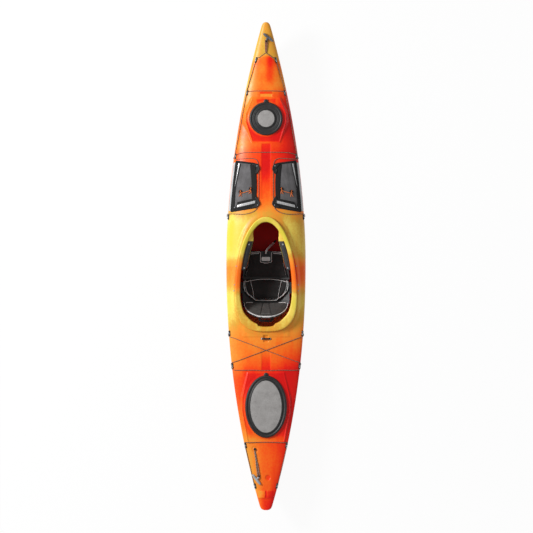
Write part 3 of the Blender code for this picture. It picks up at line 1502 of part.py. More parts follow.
def rail_ends():
    rear_y = RAIL_FRONT_Y - RAIL_LENGTH
    ends = []
    for y in (rear_y, RAIL_FRONT_Y):
        share = (sheer_z(y) - RAIL_Z) / (sheer_z(y) - keel_z(y))
        power = BOTTOM_POWER - (BOTTOM_POWER - BOTTOM_END_POWER) * end_share(y) ** 2
        wide = half_beam(y) * (1 - share**power) ** (1 / power)
        ends.append(Vector((wide - WALL - RAIL_INSET, y, RAIL_Z)))
    return ends


# The foot brace's own frame: +Y along its rail, +X outboard, at the middle of the rail's length.
def rail_frame(side):
    rear, front = rail_ends()
    along = (front - rear).normalized()
    outboard = Vector((along.y, -along.x, 0))
    matrix = Matrix((outboard, along, Vector((0, 0, 1)))).transposed().to_4x4()
    frame = Matrix.Translation((rear + front) / 2) @ matrix
    return Matrix.Scale(side, 4, Vector((1, 0, 0))) @ frame


def moved(obj, matrix):
    obj.data.transform(matrix)
    if matrix.determinant() < 0:
        obj.data.flip_normals()
    return obj


def foot_brace(name, side, rail_finish, pedal_finish):
    frame = rail_frame(side)
    half = RAIL_LENGTH / 2
    low = (-RAIL_DEPTH, -half, -RAIL_HEIGHT / 2)
    high = (CUTTER_REACH, half, RAIL_HEIGHT / 2)
    rail = moved(box(f"foot_rail_{name}", low, high, rail_finish), frame)
    combine(rail, inside_space(f"rail_space_{name}"), "INTERSECT")
    middle = PEDAL_FRONT_Y - (RAIL_FRONT_Y - RAIL_LENGTH / 2)
    inner = -RAIL_DEPTH - GAP
    low = (inner - PEDAL_THICKNESS, middle - PEDAL_HALF_LENGTH, -RAIL_HEIGHT / 2 - PEDAL_LIP)
    high = (inner + PEDAL_WRAP, middle + PEDAL_HALF_LENGTH, RAIL_HEIGHT / 2 + PEDAL_LIP)
    pedal = moved(box(f"foot_pedal_{name}", low, high, pedal_finish), frame)
    low = (inner - BLADE_REACH, middle + BLADE_REAR, -BLADE_DOWN)
    high = (inner - BLADE_ROOT, middle + BLADE_REAR + BLADE_THICKNESS, BLADE_UP)
    blade = box(f"pedal_blade_{name}", low, high, bevel=BLADE_BEVEL)
    combine(pedal, moved(blade, frame), "UNION")
    low = (inner, -half - RAIL_CUT_EXTRA, -RAIL_HEIGHT / 2 - GAP)
    high = (CUTTER_REACH, half + RAIL_CUT_EXTRA, RAIL_HEIGHT / 2 + GAP)
    combine(pedal, moved(box(f"pedal_slot_{name}", low, high), frame), "DIFFERENCE")
    hang_on(joint_empty(f"foot_pedal_joint_{name}", frame @ Vector((0, middle, 0))), pedal)


def hatches():
    rubber = material("black hatch rubber", (0.03, 0.03, 0.03), 0.6)
    grey = material("grey hatch panel", (0.37, 0.36, 0.36), 0.55)
    for name, y, half, inset in (
        ("bow", BOW_HATCH_Y, BOW_HATCH_HALF, BOW_PANEL_INSET),
        ("stern", STERN_HATCH_Y, STERN_HATCH_HALF, STERN_PANEL_INSET),
    ):
        cover = hatch_cover(f"{name}_hatch_cover", y, half, inset, rubber)
        panel = hatch_panel(f"{name}_hatch_panel", y, half, inset, grey)
        hang_on(joint_empty(f"{name}_hatch_joint", (0, y, hatch_level(y))), cover, panel)


def leg_rest():
    plate = lift_plate()
    pieces = (plate, leg_cushion(), lift_buckle(), lift_strap())
    y = SEAT_SPLIT_Y + 0.008
    hang_on(joint_empty("leg_rest_joint", (0, y, straight(PAN_LINE, y))), *pieces)


def build():
    clear_scene()
    shell = hull_shell()
    faces = shell_faces(shell)
    foam = material("grey bulkhead foam", (0.25, 0.25, 0.26), 0.9)
    bulkhead("front_bulkhead", FRONT_BULKHEAD_Y, foam)
    bulkhead("rear_bulkhead", REAR_BULKHEAD_Y, foam)
    hatches()
    seats = pad_eyes(faces)
    deck_lines(seats)
    pocket_covers()
    toggles(faces)
    lock_loop(faces)
    drain_plug()
    seat_pan()
    leg_rest()
    seat_cushion()
    backrest()
    back_pins()
    bracket_finish = material("hip bracket", (0.03, 0.03, 0.03), 0.5)
    brace_finish = material("thigh brace", (0.03, 0.03, 0.035), 0.55)
    pad_finish = material("thigh pad foam", (0.02, 0.02, 0.02), 0.85)
    rail_finish = material("foot brace rail", (0.05, 0.05, 0.05), 0.4)
    pedal_finish = material("foot pedal", (0.04, 0.04, 0.04), 0.5)
    for side, name in ((-1, "left"), (1, "right")):
        hip_bracket(f"hip_bracket_{name}", side, bracket_finish)
        thigh_brace(f"thigh_brace_{name}", side, brace_finish)
        thigh_pad(f"thigh_pad_{name}", side, pad_finish)
        foot_brace(name, side, rail_finish, pedal_finish)


build()
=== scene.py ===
import math

import bmesh
import bpy
import numpy as np
from mathutils import Matrix, Vector
from mathutils.bvhtree import BVHTree


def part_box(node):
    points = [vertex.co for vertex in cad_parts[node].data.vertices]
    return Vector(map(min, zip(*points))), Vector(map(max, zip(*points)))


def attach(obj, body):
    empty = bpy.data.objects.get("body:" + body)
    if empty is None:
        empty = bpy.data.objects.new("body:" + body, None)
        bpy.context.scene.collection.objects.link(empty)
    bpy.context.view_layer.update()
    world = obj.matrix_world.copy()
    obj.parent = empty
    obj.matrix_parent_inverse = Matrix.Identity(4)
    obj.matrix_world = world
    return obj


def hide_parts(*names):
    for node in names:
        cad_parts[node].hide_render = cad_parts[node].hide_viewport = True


# Day touring kayak seen from above: +Y is the bow, +X is starboard, +Z is up, all in metres.
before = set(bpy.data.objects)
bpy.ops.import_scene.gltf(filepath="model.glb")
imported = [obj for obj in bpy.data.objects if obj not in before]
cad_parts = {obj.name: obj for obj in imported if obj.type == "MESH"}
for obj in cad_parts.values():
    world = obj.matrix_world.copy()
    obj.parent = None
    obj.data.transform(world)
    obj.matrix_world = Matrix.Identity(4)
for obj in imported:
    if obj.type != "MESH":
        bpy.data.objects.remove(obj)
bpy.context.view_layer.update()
scene = bpy.context.scene
scene.view_settings.view_transform = "Standard"
print("frame loaded:", len(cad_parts), "nodes")


# Camera straight above, far away, so that the hull shows almost without perspective.
cameraSet = {"height": 21.56, "lens": 180.0, "sensor": 36.0, "x": 0.004, "y": 0.0}
cameraData = bpy.data.cameras.new("camera")
cameraData.lens = cameraSet["lens"]
cameraData.sensor_width = cameraSet["sensor"]
cameraData.clip_end = 100.0
camera = bpy.data.objects.new("camera", cameraData)
camera.location = (cameraSet["x"], cameraSet["y"], cameraSet["height"])
scene.collection.objects.link(camera)
scene.camera = camera


# Colours are written as sRGB hex and turned to linear here.
def colour(hexText):
    parts = [int(hexText[at:at + 2], 16) / 255 for at in (1, 3, 5)]
    return [part / 12.92 if part <= 0.04045 else ((part + 0.055) / 1.055) ** 2.4 for part in parts] + [1.0]


# Adds one node: its settings, then its inputs, each a value or the socket that feeds it.
def addNode(tree, kind, inputs=None, stops=None, **settings):
    made = tree.nodes.new("ShaderNode" + kind)
    for name, value in settings.items():
        setattr(made, name, value)
    for name, value in (inputs or {}).items():
        if isinstance(value, bpy.types.NodeSocket):
            tree.links.new(value, made.inputs[name])
        else:
            made.inputs[name].default_value = value
    if stops:
        points = made.color_ramp.elements
        points[0].position, points[-1].position = stops[0][0], stops[-1][0]
        for place, _ in stops[1:-1]:
            points.new(place)
        for point, (_, tint) in zip(points, stops):
            point.color = colour(tint) if isinstance(tint, str) else (tint, tint, tint, 1.0)
    return made


# Makes a material and gives its tree, its shader and the place that its textures follow.
def newMaterial(name, space="Object", **values):
    made = bpy.data.materials.new(name)
    made.use_nodes = True
    tree = made.node_tree
    shader = tree.nodes["Principled BSDF"]
    for key, value in values.items():
        shader.inputs[key.replace("_", " ")].default_value = value
    return made, tree, shader, addNode(tree, "TexCoord").outputs[space]


# Short forms of the nodes that most materials use. Each gives the socket of its result.
def noise(tree, place, scale, detail, rough=0.5):
    inputs = {"Vector": place, "Scale": scale, "Detail": detail, "Roughness": rough}
    return addNode(tree, "TexNoise", inputs).outputs[0]


def cellular(tree, place, scale, inputs=None, **settings):
    return addNode(tree, "TexVoronoi", {"Vector": place, "Scale": scale} | (inputs or {}),
        **settings).outputs[0]


def stretched(tree, place, **inputs):
    return addNode(tree, "Mapping", {"Vector": place} | inputs).outputs[0]


def remap(tree, value, fromMin, fromMax, toMin, toMax):
    inputs = {"Value": value, "From Min": fromMin, "From Max": fromMax, "To Min": toMin, "To Max": toMax}
    return addNode(tree, "MapRange", inputs).outputs[0]


def ramp(tree, share, *stops):
    return addNode(tree, "ValToRGB", {"Fac": share}, stops=stops).outputs[0]


def calculate(tree, operation, *values, clamp=False):
    return addNode(tree, "Math", dict(enumerate(values)), operation=operation, use_clamp=clamp).outputs[0]


def shaded(tree, tint, share):
    return addNode(tree, "VectorMath", {0: tint, "Scale": share}, operation="SCALE").outputs[0]


# Feeds a shader's colour, roughness and bump from a height pattern.
def dress(tree, shader, tint, rough, height, distance, strength):
    tree.links.new(tint, shader.inputs["Base Color"])
    if rough is not None:
        tree.links.new(rough, shader.inputs["Roughness"])
    bump = addNode(tree, "Bump", {"Height": height, "Distance": distance, "Strength": strength})
    tree.links.new(bump.outputs[0], shader.inputs["Normal"])


# Rotomoulded polyethylene: coloured powders melt together in the mould, so yellow, orange and red
# drift into each other in soft streaks, under a waxy gloss with a faint orange peel.
blendTints = (
    (0.00, "#DCCB40"), (0.10, "#EDD25C"), (0.24, "#DDA336"), (0.38, "#F8932C"), (0.52, "#FC7416"),
    (0.68, "#FB4C02"), (0.84, "#F22000"), (1.00, "#DC0400"),
)


def rotomouldedPolyethylene():
    made, tree, shader, place = newMaterial("rotomouldedPolyethylene", IOR=1.5, Specular_IOR_Level=0.3)
    # The tone attribute also carries painted light and shade, added in deckTone and on the coaming.
    tone = addNode(tree, "Attribute", attribute_name="tone").outputs["Fac"]
    streaks = stretched(tree, place, Scale=(9.0, 2.2, 9.0))
    wide = remap(tree, noise(tree, streaks, 1.0, 5.0, 0.6), 0.3, 0.7, -0.09, 0.09)
    fine = remap(tree, noise(tree, place, 70.0, 3.0), 0.3, 0.7, -0.035, 0.035)
    mixed = calculate(tree, "ADD", tone, calculate(tree, "ADD", wide, fine), clamp=True)
    # Orange peel of the mould, about 2.5 mm from dimple to dimple, and fine scuffs.
    peel = noise(tree, place, 400.0, 2.0)
    rough = remap(tree, noise(tree, place, 26.0, 6.0, 0.7), 0.35, 0.7, 0.32, 0.44)
    dress(tree, shader, ramp(tree, mixed, *blendTints), rough, peel, 0.00012, 0.5)
    return made


# The same moulding seen from inside: no polish from the mould, so it is duller. Painted light and
# shade: it runs from lit orange behind the seat to shaded dark red ahead of it.
def insidePolyethylene():
    made, tree, shader, place = newMaterial("insidePolyethylene", IOR=1.5, Specular_IOR_Level=0.2)
    along = remap(tree, addNode(tree, "SeparateXYZ", {0: place}).outputs[1], -0.45, 0.0, 0.0, 1.0)
    shift = remap(tree, noise(tree, place, 7.0, 5.0), 0.0, 1.0, -0.25, 0.25)
    mixed = calculate(tree, "ADD", along, shift, clamp=True)
    tint = ramp(tree, mixed, (0.0, "#FF8644"), (0.5, "#D8240C"), (1.0, "#C20A04"))
    grain = noise(tree, place, 260.0, 3.0)
    dress(tree, shader, tint, remap(tree, grain, 0.0, 1.0, 0.45, 0.65), grain, 0.0003, 0.6)
    return made


# Injection-moulded plastic with a spark-eroded grain, which scatters light a little: for nylon
# fittings, the seat pan, buckles and pedals. grain is the distance between grain tops in mm.
def mouldedPlastic(name, tint, worn, grain, rough):
    made, tree, shader, place = newMaterial(name, IOR=1.53)
    pits = cellular(tree, place, 1000.0 / grain, {"Randomness": 1.0})
    wear = noise(tree, place, 38.0, 6.0, 0.65)
    mixed = ramp(tree, remap(tree, wear, 0.45, 0.75, 0.0, 1.0), (0.0, tint), (1.0, worn))
    gloss = remap(tree, wear, 0.3, 0.7, rough - 0.07, rough + 0.08)
    dress(tree, shader, mixed, gloss, pits, 0.00015, 0.5)
    return made


# Press-moulded rubber: matt, with a fine bloom that greys it in patches.
def mouldedRubber():
    made, tree, shader, place = newMaterial("mouldedRubber", IOR=1.52)
    bloom = noise(tree, place, 17.0, 7.0, 0.7)
    tint = ramp(tree, bloom, (0.3, "#151414"), (0.55, "#222121"), (0.75, "#373535"))
    grain = noise(tree, place, 700.0, 2.0)
    dress(tree, shader, tint, remap(tree, bloom, 0.3, 0.7, 0.44, 0.6), grain, 0.0001, 0.6)
    return made


# Moulded ABS panel with a leather-like pebble about 2 mm wide, drawn at 4 mm so that it shows.
def pebbledAbs():
    made, tree, shader, place = newMaterial("pebbledAbs", IOR=1.54, Roughness=0.55)
    pebble = cellular(tree, place, 250.0, {"Smoothness": 0.4}, feature="SMOOTH_F1")
    dust = noise(tree, place, 20.0, 6.0, 0.65)
    tint = ramp(tree, dust, (0.25, "#8F8C8A"), (0.5, "#A09D9B"), (0.8, "#ACAAA8"))
    # Painted shade: the valleys between the pebbles are painted darker.
    mixed = shaded(tree, tint, remap(tree, pebble, 0.1, 0.75, 1.06, 0.78))
    dress(tree, shader, mixed, None, pebble, -0.0005, 0.7)
    return made


# Closed-cell foam, cut from a block: matt, with burst cells about 1.5 mm wide.
def closedCellFoam(name, tint, cellShade):
    made, tree, shader, place = newMaterial(name, Roughness=0.95, IOR=1.45)
    burst = cellular(tree, place, 620.0)
    # Painted shade: each burst cell is painted darker towards its middle, where it is hollow.
    dress(tree, shader, ramp(tree, burst, (0.0, cellShade), (0.6, tint)), None, burst, 0.0004, 0.8)
    return made


# Braided polyester cord: two sets of strands cross at a slant, with a fleck every few picks.
# The texture runs along the piece's own UV, u once round and v in metres.
def braidedCord(name, tint, fleck, pitch=0.007):
    made, tree, shader, place = newMaterial(name, "UV", Roughness=0.75, IOR=1.5, Sheen_Weight=0.25)
    apart = addNode(tree, "SeparateXYZ", {0: place}).outputs
    around = calculate(tree, "MULTIPLY", apart[0], 4.0)
    along = calculate(tree, "MULTIPLY", apart[1], 1.0 / pitch)
    waves = []
    for lean in ("ADD", "SUBTRACT"):
        slant = calculate(tree, lean, around, along)
        waves.append(calculate(tree, "SINE", calculate(tree, "MULTIPLY", slant, 2 * math.pi)))
    height = calculate(tree, "MAXIMUM", *waves)
    picks = calculate(tree, "FRACT", calculate(tree, "MULTIPLY", along, 0.31))
    shown = calculate(tree, "MULTIPLY", waves[0], picks)
    dress(tree, shader, ramp(tree, shown, (0.35, tint), (0.75, fleck)), None, height, 0.0004, 0.9)
    return made


# Woven cloth or webbing: warp and weft threads a few tenths of a millimetre wide, drawn at about
# 2 mm so that the weave shows, with the nap catching light at the edges.
def wovenCloth(name, tint, light, thread=2.0, sheen=0.3):
    made, tree, shader, place = newMaterial(name, Roughness=0.85, IOR=1.5, Sheen_Weight=sheen,
        Sheen_Roughness=0.4)
    apart = addNode(tree, "SeparateXYZ", {0: place}).outputs
    waves = [calculate(tree, "SINE", calculate(tree, "MULTIPLY", apart[axis], 2000.0 * math.pi / thread))
        for axis in (0, 1)]
    weave = calculate(tree, "MULTIPLY", *waves)
    wear = noise(tree, place, 24.0, 6.0, 0.7)
    share = calculate(tree, "ADD", wear, remap(tree, weave, -1.0, 1.0, -0.12, 0.12))
    dress(tree, shader, ramp(tree, share, (0.3, tint), (0.75, light)), None, weave, 0.0003, 0.6)
    return made


# Knitted stretch mesh: rows of small open holes, 3 mm apart in the real one and 6 mm here.
def knittedMesh():
    made, tree, shader, place = newMaterial("knittedMesh", Roughness=0.8, IOR=1.5, Sheen_Weight=0.2)
    holes = cellular(tree, place, 165.0, {"Randomness": 0.15})
    tint = ramp(tree, noise(tree, place, 11.0, 4.0), (0.3, "#4C4A4B"), (0.7, "#6A686A"))
    # Painted shade: the open holes are painted dark, for the shade seen through them.
    knit = remap(tree, holes, 0.12, 0.3, 0.35, 1.0)
    dress(tree, shader, shaded(tree, tint, knit), None, knit, 0.0005, 0.5)
    return made


# Reflective tape: glass beads under a clear film, so it is pale and glossy, with a printed diamond grid.
def reflectiveTape():
    made, tree, shader, place = newMaterial("reflectiveTape", Roughness=0.28, IOR=1.5, Coat_Weight=0.4)
    turned = stretched(tree, place, Rotation=(0.0, 0.0, math.radians(45)), Scale=(110.0, 110.0, 110.0))
    tints = {"Color1": colour("#BEBEBE"), "Color2": colour("#9E9EA0")}
    grid = addNode(tree, "TexChecker", {"Vector": turned, "Scale": 1.0} | tints).outputs[0]
    dress(tree, shader, grid, None, cellular(tree, place, 900.0), 0.0001, 0.3)
    return made


# Stainless steel, tumbled to a satin finish: soft reflections with fine lines.
def satinSteel():
    made, tree, shader, place = newMaterial("satinSteel", Metallic=1.0)
    grit = noise(tree, stretched(tree, place, Scale=(60.0, 900.0, 900.0)), 1.0, 4.0)
    tint = ramp(tree, grit, (0.3, "#B9BABC"), (0.7, "#D6D7D9"))
    dress(tree, shader, tint, remap(tree, grit, 0.0, 1.0, 0.22, 0.4), grit, 0.00005, 0.4)
    return made


hullPlastic = rotomouldedPolyethylene()
insidePlastic = insidePolyethylene()
blackNylon = mouldedPlastic("blackNylon", "#080808", "#1C1C1D", 1.4, 0.45)
paleNylon = mouldedPlastic("paleNylon", "#94989C", "#B4B8BC", 1.4, 0.35)
darkToggle = mouldedPlastic("darkToggleNylon", "#555558", "#86878A", 1.8, 0.38)
paleToggle = mouldedPlastic("paleToggleNylon", "#97989B", "#B9BABD", 1.8, 0.4)
seatPlastic = mouldedPlastic("seatPolyethylene", "#0B0B0B", "#1C1C1D", 2.0, 0.5)
bracePlastic = mouldedPlastic("braceNylon", "#202021", "#3A3A3B", 2.4, 0.55)
buckleAcetal = mouldedPlastic("buckleAcetal", "#5C5C5C", "#8A8A8A", 1.4, 0.35)
labelVinyl = mouldedPlastic("labelVinyl", "#E6E4E1", "#F2F0EE", 3.0, 0.45)
hatchRubber = mouldedRubber()
hatchAbs = pebbledAbs()
bulkheadFoam = closedCellFoam("bulkheadFoam", "#6A6A6B", "#3C3C3D")
padFoam = closedCellFoam("padFoam", "#141414", "#070707")
deckCord = braidedCord("deckCord", "#75503C", "#AE8E76")
lashCord = braidedCord("lashCord", "#8A5242", "#AC7660")
greyCord = braidedCord("greyCord", "#6E6A66", "#B2AEAA")
orangeCord = braidedCord("orangeCord", "#E06A16", "#FF9A3C", 0.004)
seatCloth = wovenCloth("seatNylonCloth", "#131212", "#2B2828", sheen=0.12)
backCloth = wovenCloth("backNylonCloth", "#322F2D", "#484440", sheen=0.15)
blackTape = wovenCloth("blackBindingTape", "#060606", "#161515", 1.6, 0.06)
greyPiping = wovenCloth("greyPiping", "#C8C7C6", "#EAE9E8", 1.2, 0.1)
greyWebbing = wovenCloth("greyWebbing", "#DCDBDA", "#F4F4F3", 1.6, 0.1)
pocketMesh = knittedMesh()
whiteTape = reflectiveTape()
steel = satinSteel()
print("materials made:", len(bpy.data.materials))


# Builds a mesh from rows of points. Rows run along the piece and columns run round or across it.
def gridPiece(name, grid, finish, around=True, ring=False, capped=True, keep=None, crease=40.0):
    grid = np.asarray(grid, float)
    rows, columns = grid.shape[:2]
    index = np.arange(rows * columns).reshape(rows, columns)
    quads = np.stack([index, np.roll(index, -1, 1), np.roll(np.roll(index, -1, 1), -1, 0),
            np.roll(index, -1, 0)], -1)
    steps = np.linalg.norm(np.diff(grid.mean(1), axis=0), axis=1)
    lengths = np.concatenate([[0.0], np.cumsum(steps)])
    down = np.append(lengths, lengths[-1] + (steps[-1] if len(steps) else 0.0))
    across = np.arange(columns + 1) / columns
    v0, u0 = np.meshgrid(down[:-1], across[:-1], indexing="ij")
    v1, u1 = np.meshgrid(down[1:], across[1:], indexing="ij")
    places = np.stack([np.stack([u0, v0], -1), np.stack([u1, v0], -1), np.stack([u1, v1], -1),
            np.stack([u0, v1], -1)], 2)
    if not ring:
        quads, places = quads[:-1], places[:-1]
    if not around:
        quads, places = quads[:, :-1], places[:, :-1]
    quads, places = quads.reshape(-1, 4), places.reshape(-1, 4, 2)
    if keep is not None:
        shown = keep(grid.reshape(-1, 3)[quads].mean(1))
        quads, places = quads[shown], places[shown]
    faces = quads.tolist()
    loops = places.reshape(-1, 2)
    if capped and around and not ring:
        faces += [index[0].tolist()[::-1], index[-1].tolist()]
        loops = np.concatenate([loops, np.zeros((2 * columns, 2))])
    mesh = bpy.data.meshes.new(name)
    mesh.from_pydata(grid.reshape(-1, 3).tolist(), [], faces)
    layer = mesh.uv_layers.new(name="UVMap")
    layer.data.foreach_set("uv", loops.astype(np.float32).ravel())
    if keep is None:  # cut meshes are left as they are, because they aren't closed
        shape = bmesh.new()
        shape.from_mesh(mesh)
        bmesh.ops.recalc_face_normals(shape, faces=shape.faces)
        shape.to_mesh(mesh)
        shape.free()
    mesh.materials.append(finish)
    mesh.shade_smooth()
    mesh.set_sharp_from_angle(angle=math.radians(crease))
    piece = bpy.data.objects.new(name, mesh)
    scene.collection.objects.link(piece)
    return piece


# A soft line through points, then evenly spaced along its length.
def route(points, spacing, closed=False):
    points = np.asarray(points, float)
    before, after = (points[-1:], points[:2]) if closed else (2 * points[:1] - points[1:2],
        2 * points[-1:] - points[-2:-1])
    p = np.concatenate([before, points, after])
    t = np.linspace(0, 1, 12, endpoint=False)[:, None]
    runs = []
    for a, b, c, d in zip(p, p[1:], p[2:], p[3:]):
        runs.append(0.5 * (2 * b + (c - a) * t + (2 * a - 5 * b + 4 * c - d) * t ** 2
                + (3 * b - a - 3 * c + d) * t ** 3))
    dense = np.concatenate(runs + [points[:1] if closed else points[-1:]])
    steps = np.concatenate([[0], np.cumsum(np.linalg.norm(np.diff(dense, axis=0), axis=1))])
    count = max(3, round(steps[-1] / spacing))
    at = np.linspace(0, steps[-1], count + 1)
    even = np.stack([np.interp(at, steps, dense[:, axis]) for axis in range(3)], -1)
    return even[:-1] if closed else even


# Sweeps a cross-section along points. up gives the side that the section's second axis faces.
def sweep(name, points, section, finish, closed=False, up=None, crease=40.0):
    points = np.asarray(points, float)
    ahead = np.roll(points, -1, 0) - np.roll(points, 1, 0) if closed else np.gradient(points, axis=0)
    ahead /= np.linalg.norm(ahead, axis=1)[:, None]
    up = np.broadcast_to(np.array([0.0, 0.0, 1.0]) if up is None else np.asarray(up, float),
        points.shape).copy()
    up = up + np.array([1e-4, 2e-4, 0])
    aside = np.cross(ahead, up)
    aside /= np.linalg.norm(aside, axis=1)[:, None]
    above = np.cross(aside, ahead)
    section = np.asarray(section, float)
    offset = section[None, :, :, None] * np.stack([aside, above], 1)[:, None, :, :]
    return gridPiece(name, points[:, None, :] + offset.sum(2), finish, ring=closed, crease=crease)


# Angles of even steps once round a circle.
def fullTurn(steps):
    return np.arange(steps) * 2 * math.pi / steps


def roundSection(radius, sides=10):
    turn = fullTurn(sides)
    return np.stack([radius * np.cos(turn), radius * np.sin(turn)], -1)


# A flat band with rounded edges.
def flatSection(halfWidth, thickness):
    half = thickness / 2
    inner = halfWidth - half
    return np.array([[inner, -half], [halfWidth, -half * 0.4], [halfWidth, half * 0.4], [inner, half],
                     [0, half], [-inner, half], [-halfWidth, half * 0.4], [-halfWidth, -half * 0.4],
                     [-inner, -half], [0, -half]])


def cordPiece(name, points, radius, finish, closed=False, sides=10):
    return sweep(name, points, roundSection(radius, sides), finish, closed)


# A turned piece: rings of (height, radius) round a place, with +Z along the given direction.
def turnedPiece(name, place, direction, rings, finish, sides=24, crease=35.0):
    turn = Vector(direction).to_track_quat("Z", "Y").to_matrix()
    angles = fullTurn(sides)
    grid = [[list(Vector(place) + turn @ Vector((r * math.cos(a), r * math.sin(a), h))) for a in angles]
        for h, r in rings]
    return gridPiece(name, grid, finish, crease=crease)


# Joins pieces into one, which keeps each face's finish.
def joined(name, pieces):
    shape = bmesh.new()
    finishes = []
    for piece in pieces:
        start = len(shape.faces)
        shape.from_mesh(piece.data)
        shape.faces.ensure_lookup_table()
        slots = []
        for one in piece.data.materials:
            if one not in finishes:
                finishes.append(one)
            slots.append(finishes.index(one))
        for face in shape.faces[start:]:
            face.material_index = slots[face.material_index]
        bpy.data.objects.remove(piece, do_unlink=True)
    mesh = bpy.data.meshes.new(name)
    shape.to_mesh(mesh)
    shape.free()
    for one in finishes:
        mesh.materials.append(one)
    made = bpy.data.objects.new(name, mesh)
    scene.collection.objects.link(made)
    return made


# Sends a piece to its body and hides the nodes that it stands for.
def settle(piece, body, slot, *nodes):
    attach(piece, body)
    if nodes:
        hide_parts(*nodes)
    return piece


# Rises softly from 0 at low to 1 at high.
def smoothStep(low, high, value):
    share = np.clip((np.asarray(value, float) - low) / (high - low), 0, 1)
    return share * share * (3 - 2 * share)


# A soft curve through (place, value) knots, read at the given places.
def fairLine(knots, at):
    places, values = np.array(knots, float).T
    slopes = np.zeros(len(places))
    slopes[1:-1] = (values[2:] - values[:-2]) / (places[2:] - places[:-2])
    at = np.clip(at, places[0], places[-1])
    index = np.clip(np.searchsorted(places, at, side="right") - 1, 0, len(places) - 2)
    span = places[index + 1] - places[index]
    share = (at - places[index]) / span
    square, cube = share ** 2, share ** 3
    return (values[index] * (2 * cube - 3 * square + 1) + slopes[index] * span * (cube - 2 * square + share)
            + values[index + 1] * (3 * square - 2 * cube) + slopes[index + 1] * span * (cube - square))


# The hull's lines, the same as the CAD's.
hull = {
    "length": 3.89, "beam": 0.635, "wall": 0.0045, "bowTip": 0.027, "sternTip": 0.040, "bowFullness": 1.9,
    "sternFullness": 2.12, "bluntReach": 0.042, "bluntPower": 3.2, "sheer": 0.228, "bowSheerRise": 0.100,
    "sternSheerRise": 0.050, "rocker": 0.030,
    "bowStem": (0.42, 0.250), "sternStem": (0.34, 0.170), "stemPower": 2.2, "bottomPower": (2.8, 1.7),
    "deckPower": 2.2,
    "stationStep": 0.006, "bottomSteps": 30, "deckSteps": 84,
}
bowY, sternY = hull["length"] / 2, -hull["length"] / 2
widestY = 0.018 * bowY
deckLine = (
    (sternY, 0.292), (sternY + 0.22, 0.288), (-0.72 * bowY, 0.276), (-0.44 * bowY, 0.274),
    (-0.27 * bowY, 0.286), (0.0, 0.345),
    (0.23 * bowY, 0.370), (0.44 * bowY, 0.348), (0.60 * bowY, 0.340), (0.80 * bowY, 0.342), (bowY, 0.350),
)


# 0 at the widest station and 1 at either tip.
def endShare(y):
    return np.clip(np.where(y >= widestY, (y - widestY) / (bowY - widestY),
            (widestY - y) / (widestY - sternY)), 0, 1)


# Half the hull's width at a station, blunted at the very tips.
def halfBeam(y):
    y = np.asarray(y, float)
    atBow = y >= widestY
    tip = np.where(atBow, hull["bowTip"], hull["sternTip"])
    power = np.where(atBow, hull["bowFullness"], hull["sternFullness"])
    half = tip + (hull["beam"] / 2 - tip) * (1 - endShare(y) ** power)
    toTip = np.minimum(bowY - y, y - sternY)
    blunt = 0.985 * np.clip(1 - toTip / hull["bluntReach"], 0, 1)
    return half * (1 - blunt ** hull["bluntPower"]) ** (1 / hull["bluntPower"])


# Height of the keel line: rocker towards the ends, then the stems.
def keelHeight(y):
    share = np.clip((endShare(y) - 0.35) / 0.65, 0, 1)
    bow = np.clip(1 - (bowY - y) / hull["bowStem"][0], 0, 1)
    stern = np.clip(1 - (y - sternY) / hull["sternStem"][0], 0, 1)
    stems = hull["bowStem"][1] * bow ** hull["stemPower"] + hull["sternStem"][1] * stern ** hull["stemPower"]
    return hull["rocker"] * share ** 2 + stems


# Height of the edge where hull and deck meet.
def sheerHeight(y):
    return hull["sheer"] + np.where(y >= widestY, hull["bowSheerRise"],
        hull["sternSheerRise"]) * endShare(y) ** 2


# How full the bottom's sections are: boxy amidships and sharper towards the ends.
def bottomPower(y):
    full, end = hull["bottomPower"]
    return full - (full - end) * endShare(y) ** 2


# The deck without anything moulded into it.
def plainDeck(x, y):
    across = np.clip(np.abs(x) / halfBeam(y), 0, 1) ** hull["deckPower"]
    low = sheerHeight(y)
    return low + (fairLine(deckLine, y) - low) * (1 - across) ** (1 / hull["deckPower"])


# Distance from a closed outline in plan, negative inside it.
def outlineDistance(x, y, outline, reach=0.09):
    x, y = np.broadcast_arrays(np.asarray(x, float), np.asarray(y, float))
    found = np.full(x.shape, reach)
    corners = np.asarray(outline, float)
    low, high = corners.min(0) - reach, corners.max(0) + reach
    near = (x > low[0]) & (x < high[0]) & (y > low[1]) & (y < high[1])
    px, py = x[near], y[near]
    best = np.full(px.shape, 1.0)
    inside = np.zeros(px.shape, bool)
    for (ax, ay), (bx, by) in zip(corners, np.roll(corners, -1, 0)):
        dx, dy = bx - ax, by - ay
        share = np.clip(((px - ax) * dx + (py - ay) * dy) / (dx * dx + dy * dy + 1e-15), 0, 1)
        best = np.minimum(best, (px - ax - share * dx) ** 2 + (py - ay - share * dy) ** 2)
        if abs(dy) > 1e-12:
            inside ^= ((ay > py) != (by > py)) & (px < ax + (py - ay) * dx / dy)
    found[near] = np.sqrt(best) * np.where(inside, -1, 1)
    return found


# Coaming: an egg-shaped rim round the cockpit, with a shallow notch in its rear inner edge.
coaming = {
    "widestY": -0.115 * bowY, "front": 0.620, "rear": 0.297, "half": 0.2475, "rearPower": 2.8,
    "openingShift": 0.036,
    "openingFront": 0.541, "openingRear": 0.292, "openingHalf": 0.206, "openingRearPower": 2.4,
    "frontHeight": 0.400,
    "rearHeight": 0.318, "slopePower": 1.4, "steps": 200, "notchHalf": 0.066, "notchDepth": 0.014,
}


# A point on an egg-shaped outline, squarer behind its widest place.
def eggPoint(angle, half, widest, front, rear, rearPower):
    across, along = np.cos(angle), np.sin(angle)
    power = np.where(along >= 0, 1.0, 2 / rearPower)
    x = half * np.sign(across) * np.abs(across) ** power
    y = widest + np.where(along >= 0, front * along, -rear * np.abs(along) ** power)
    return x, y


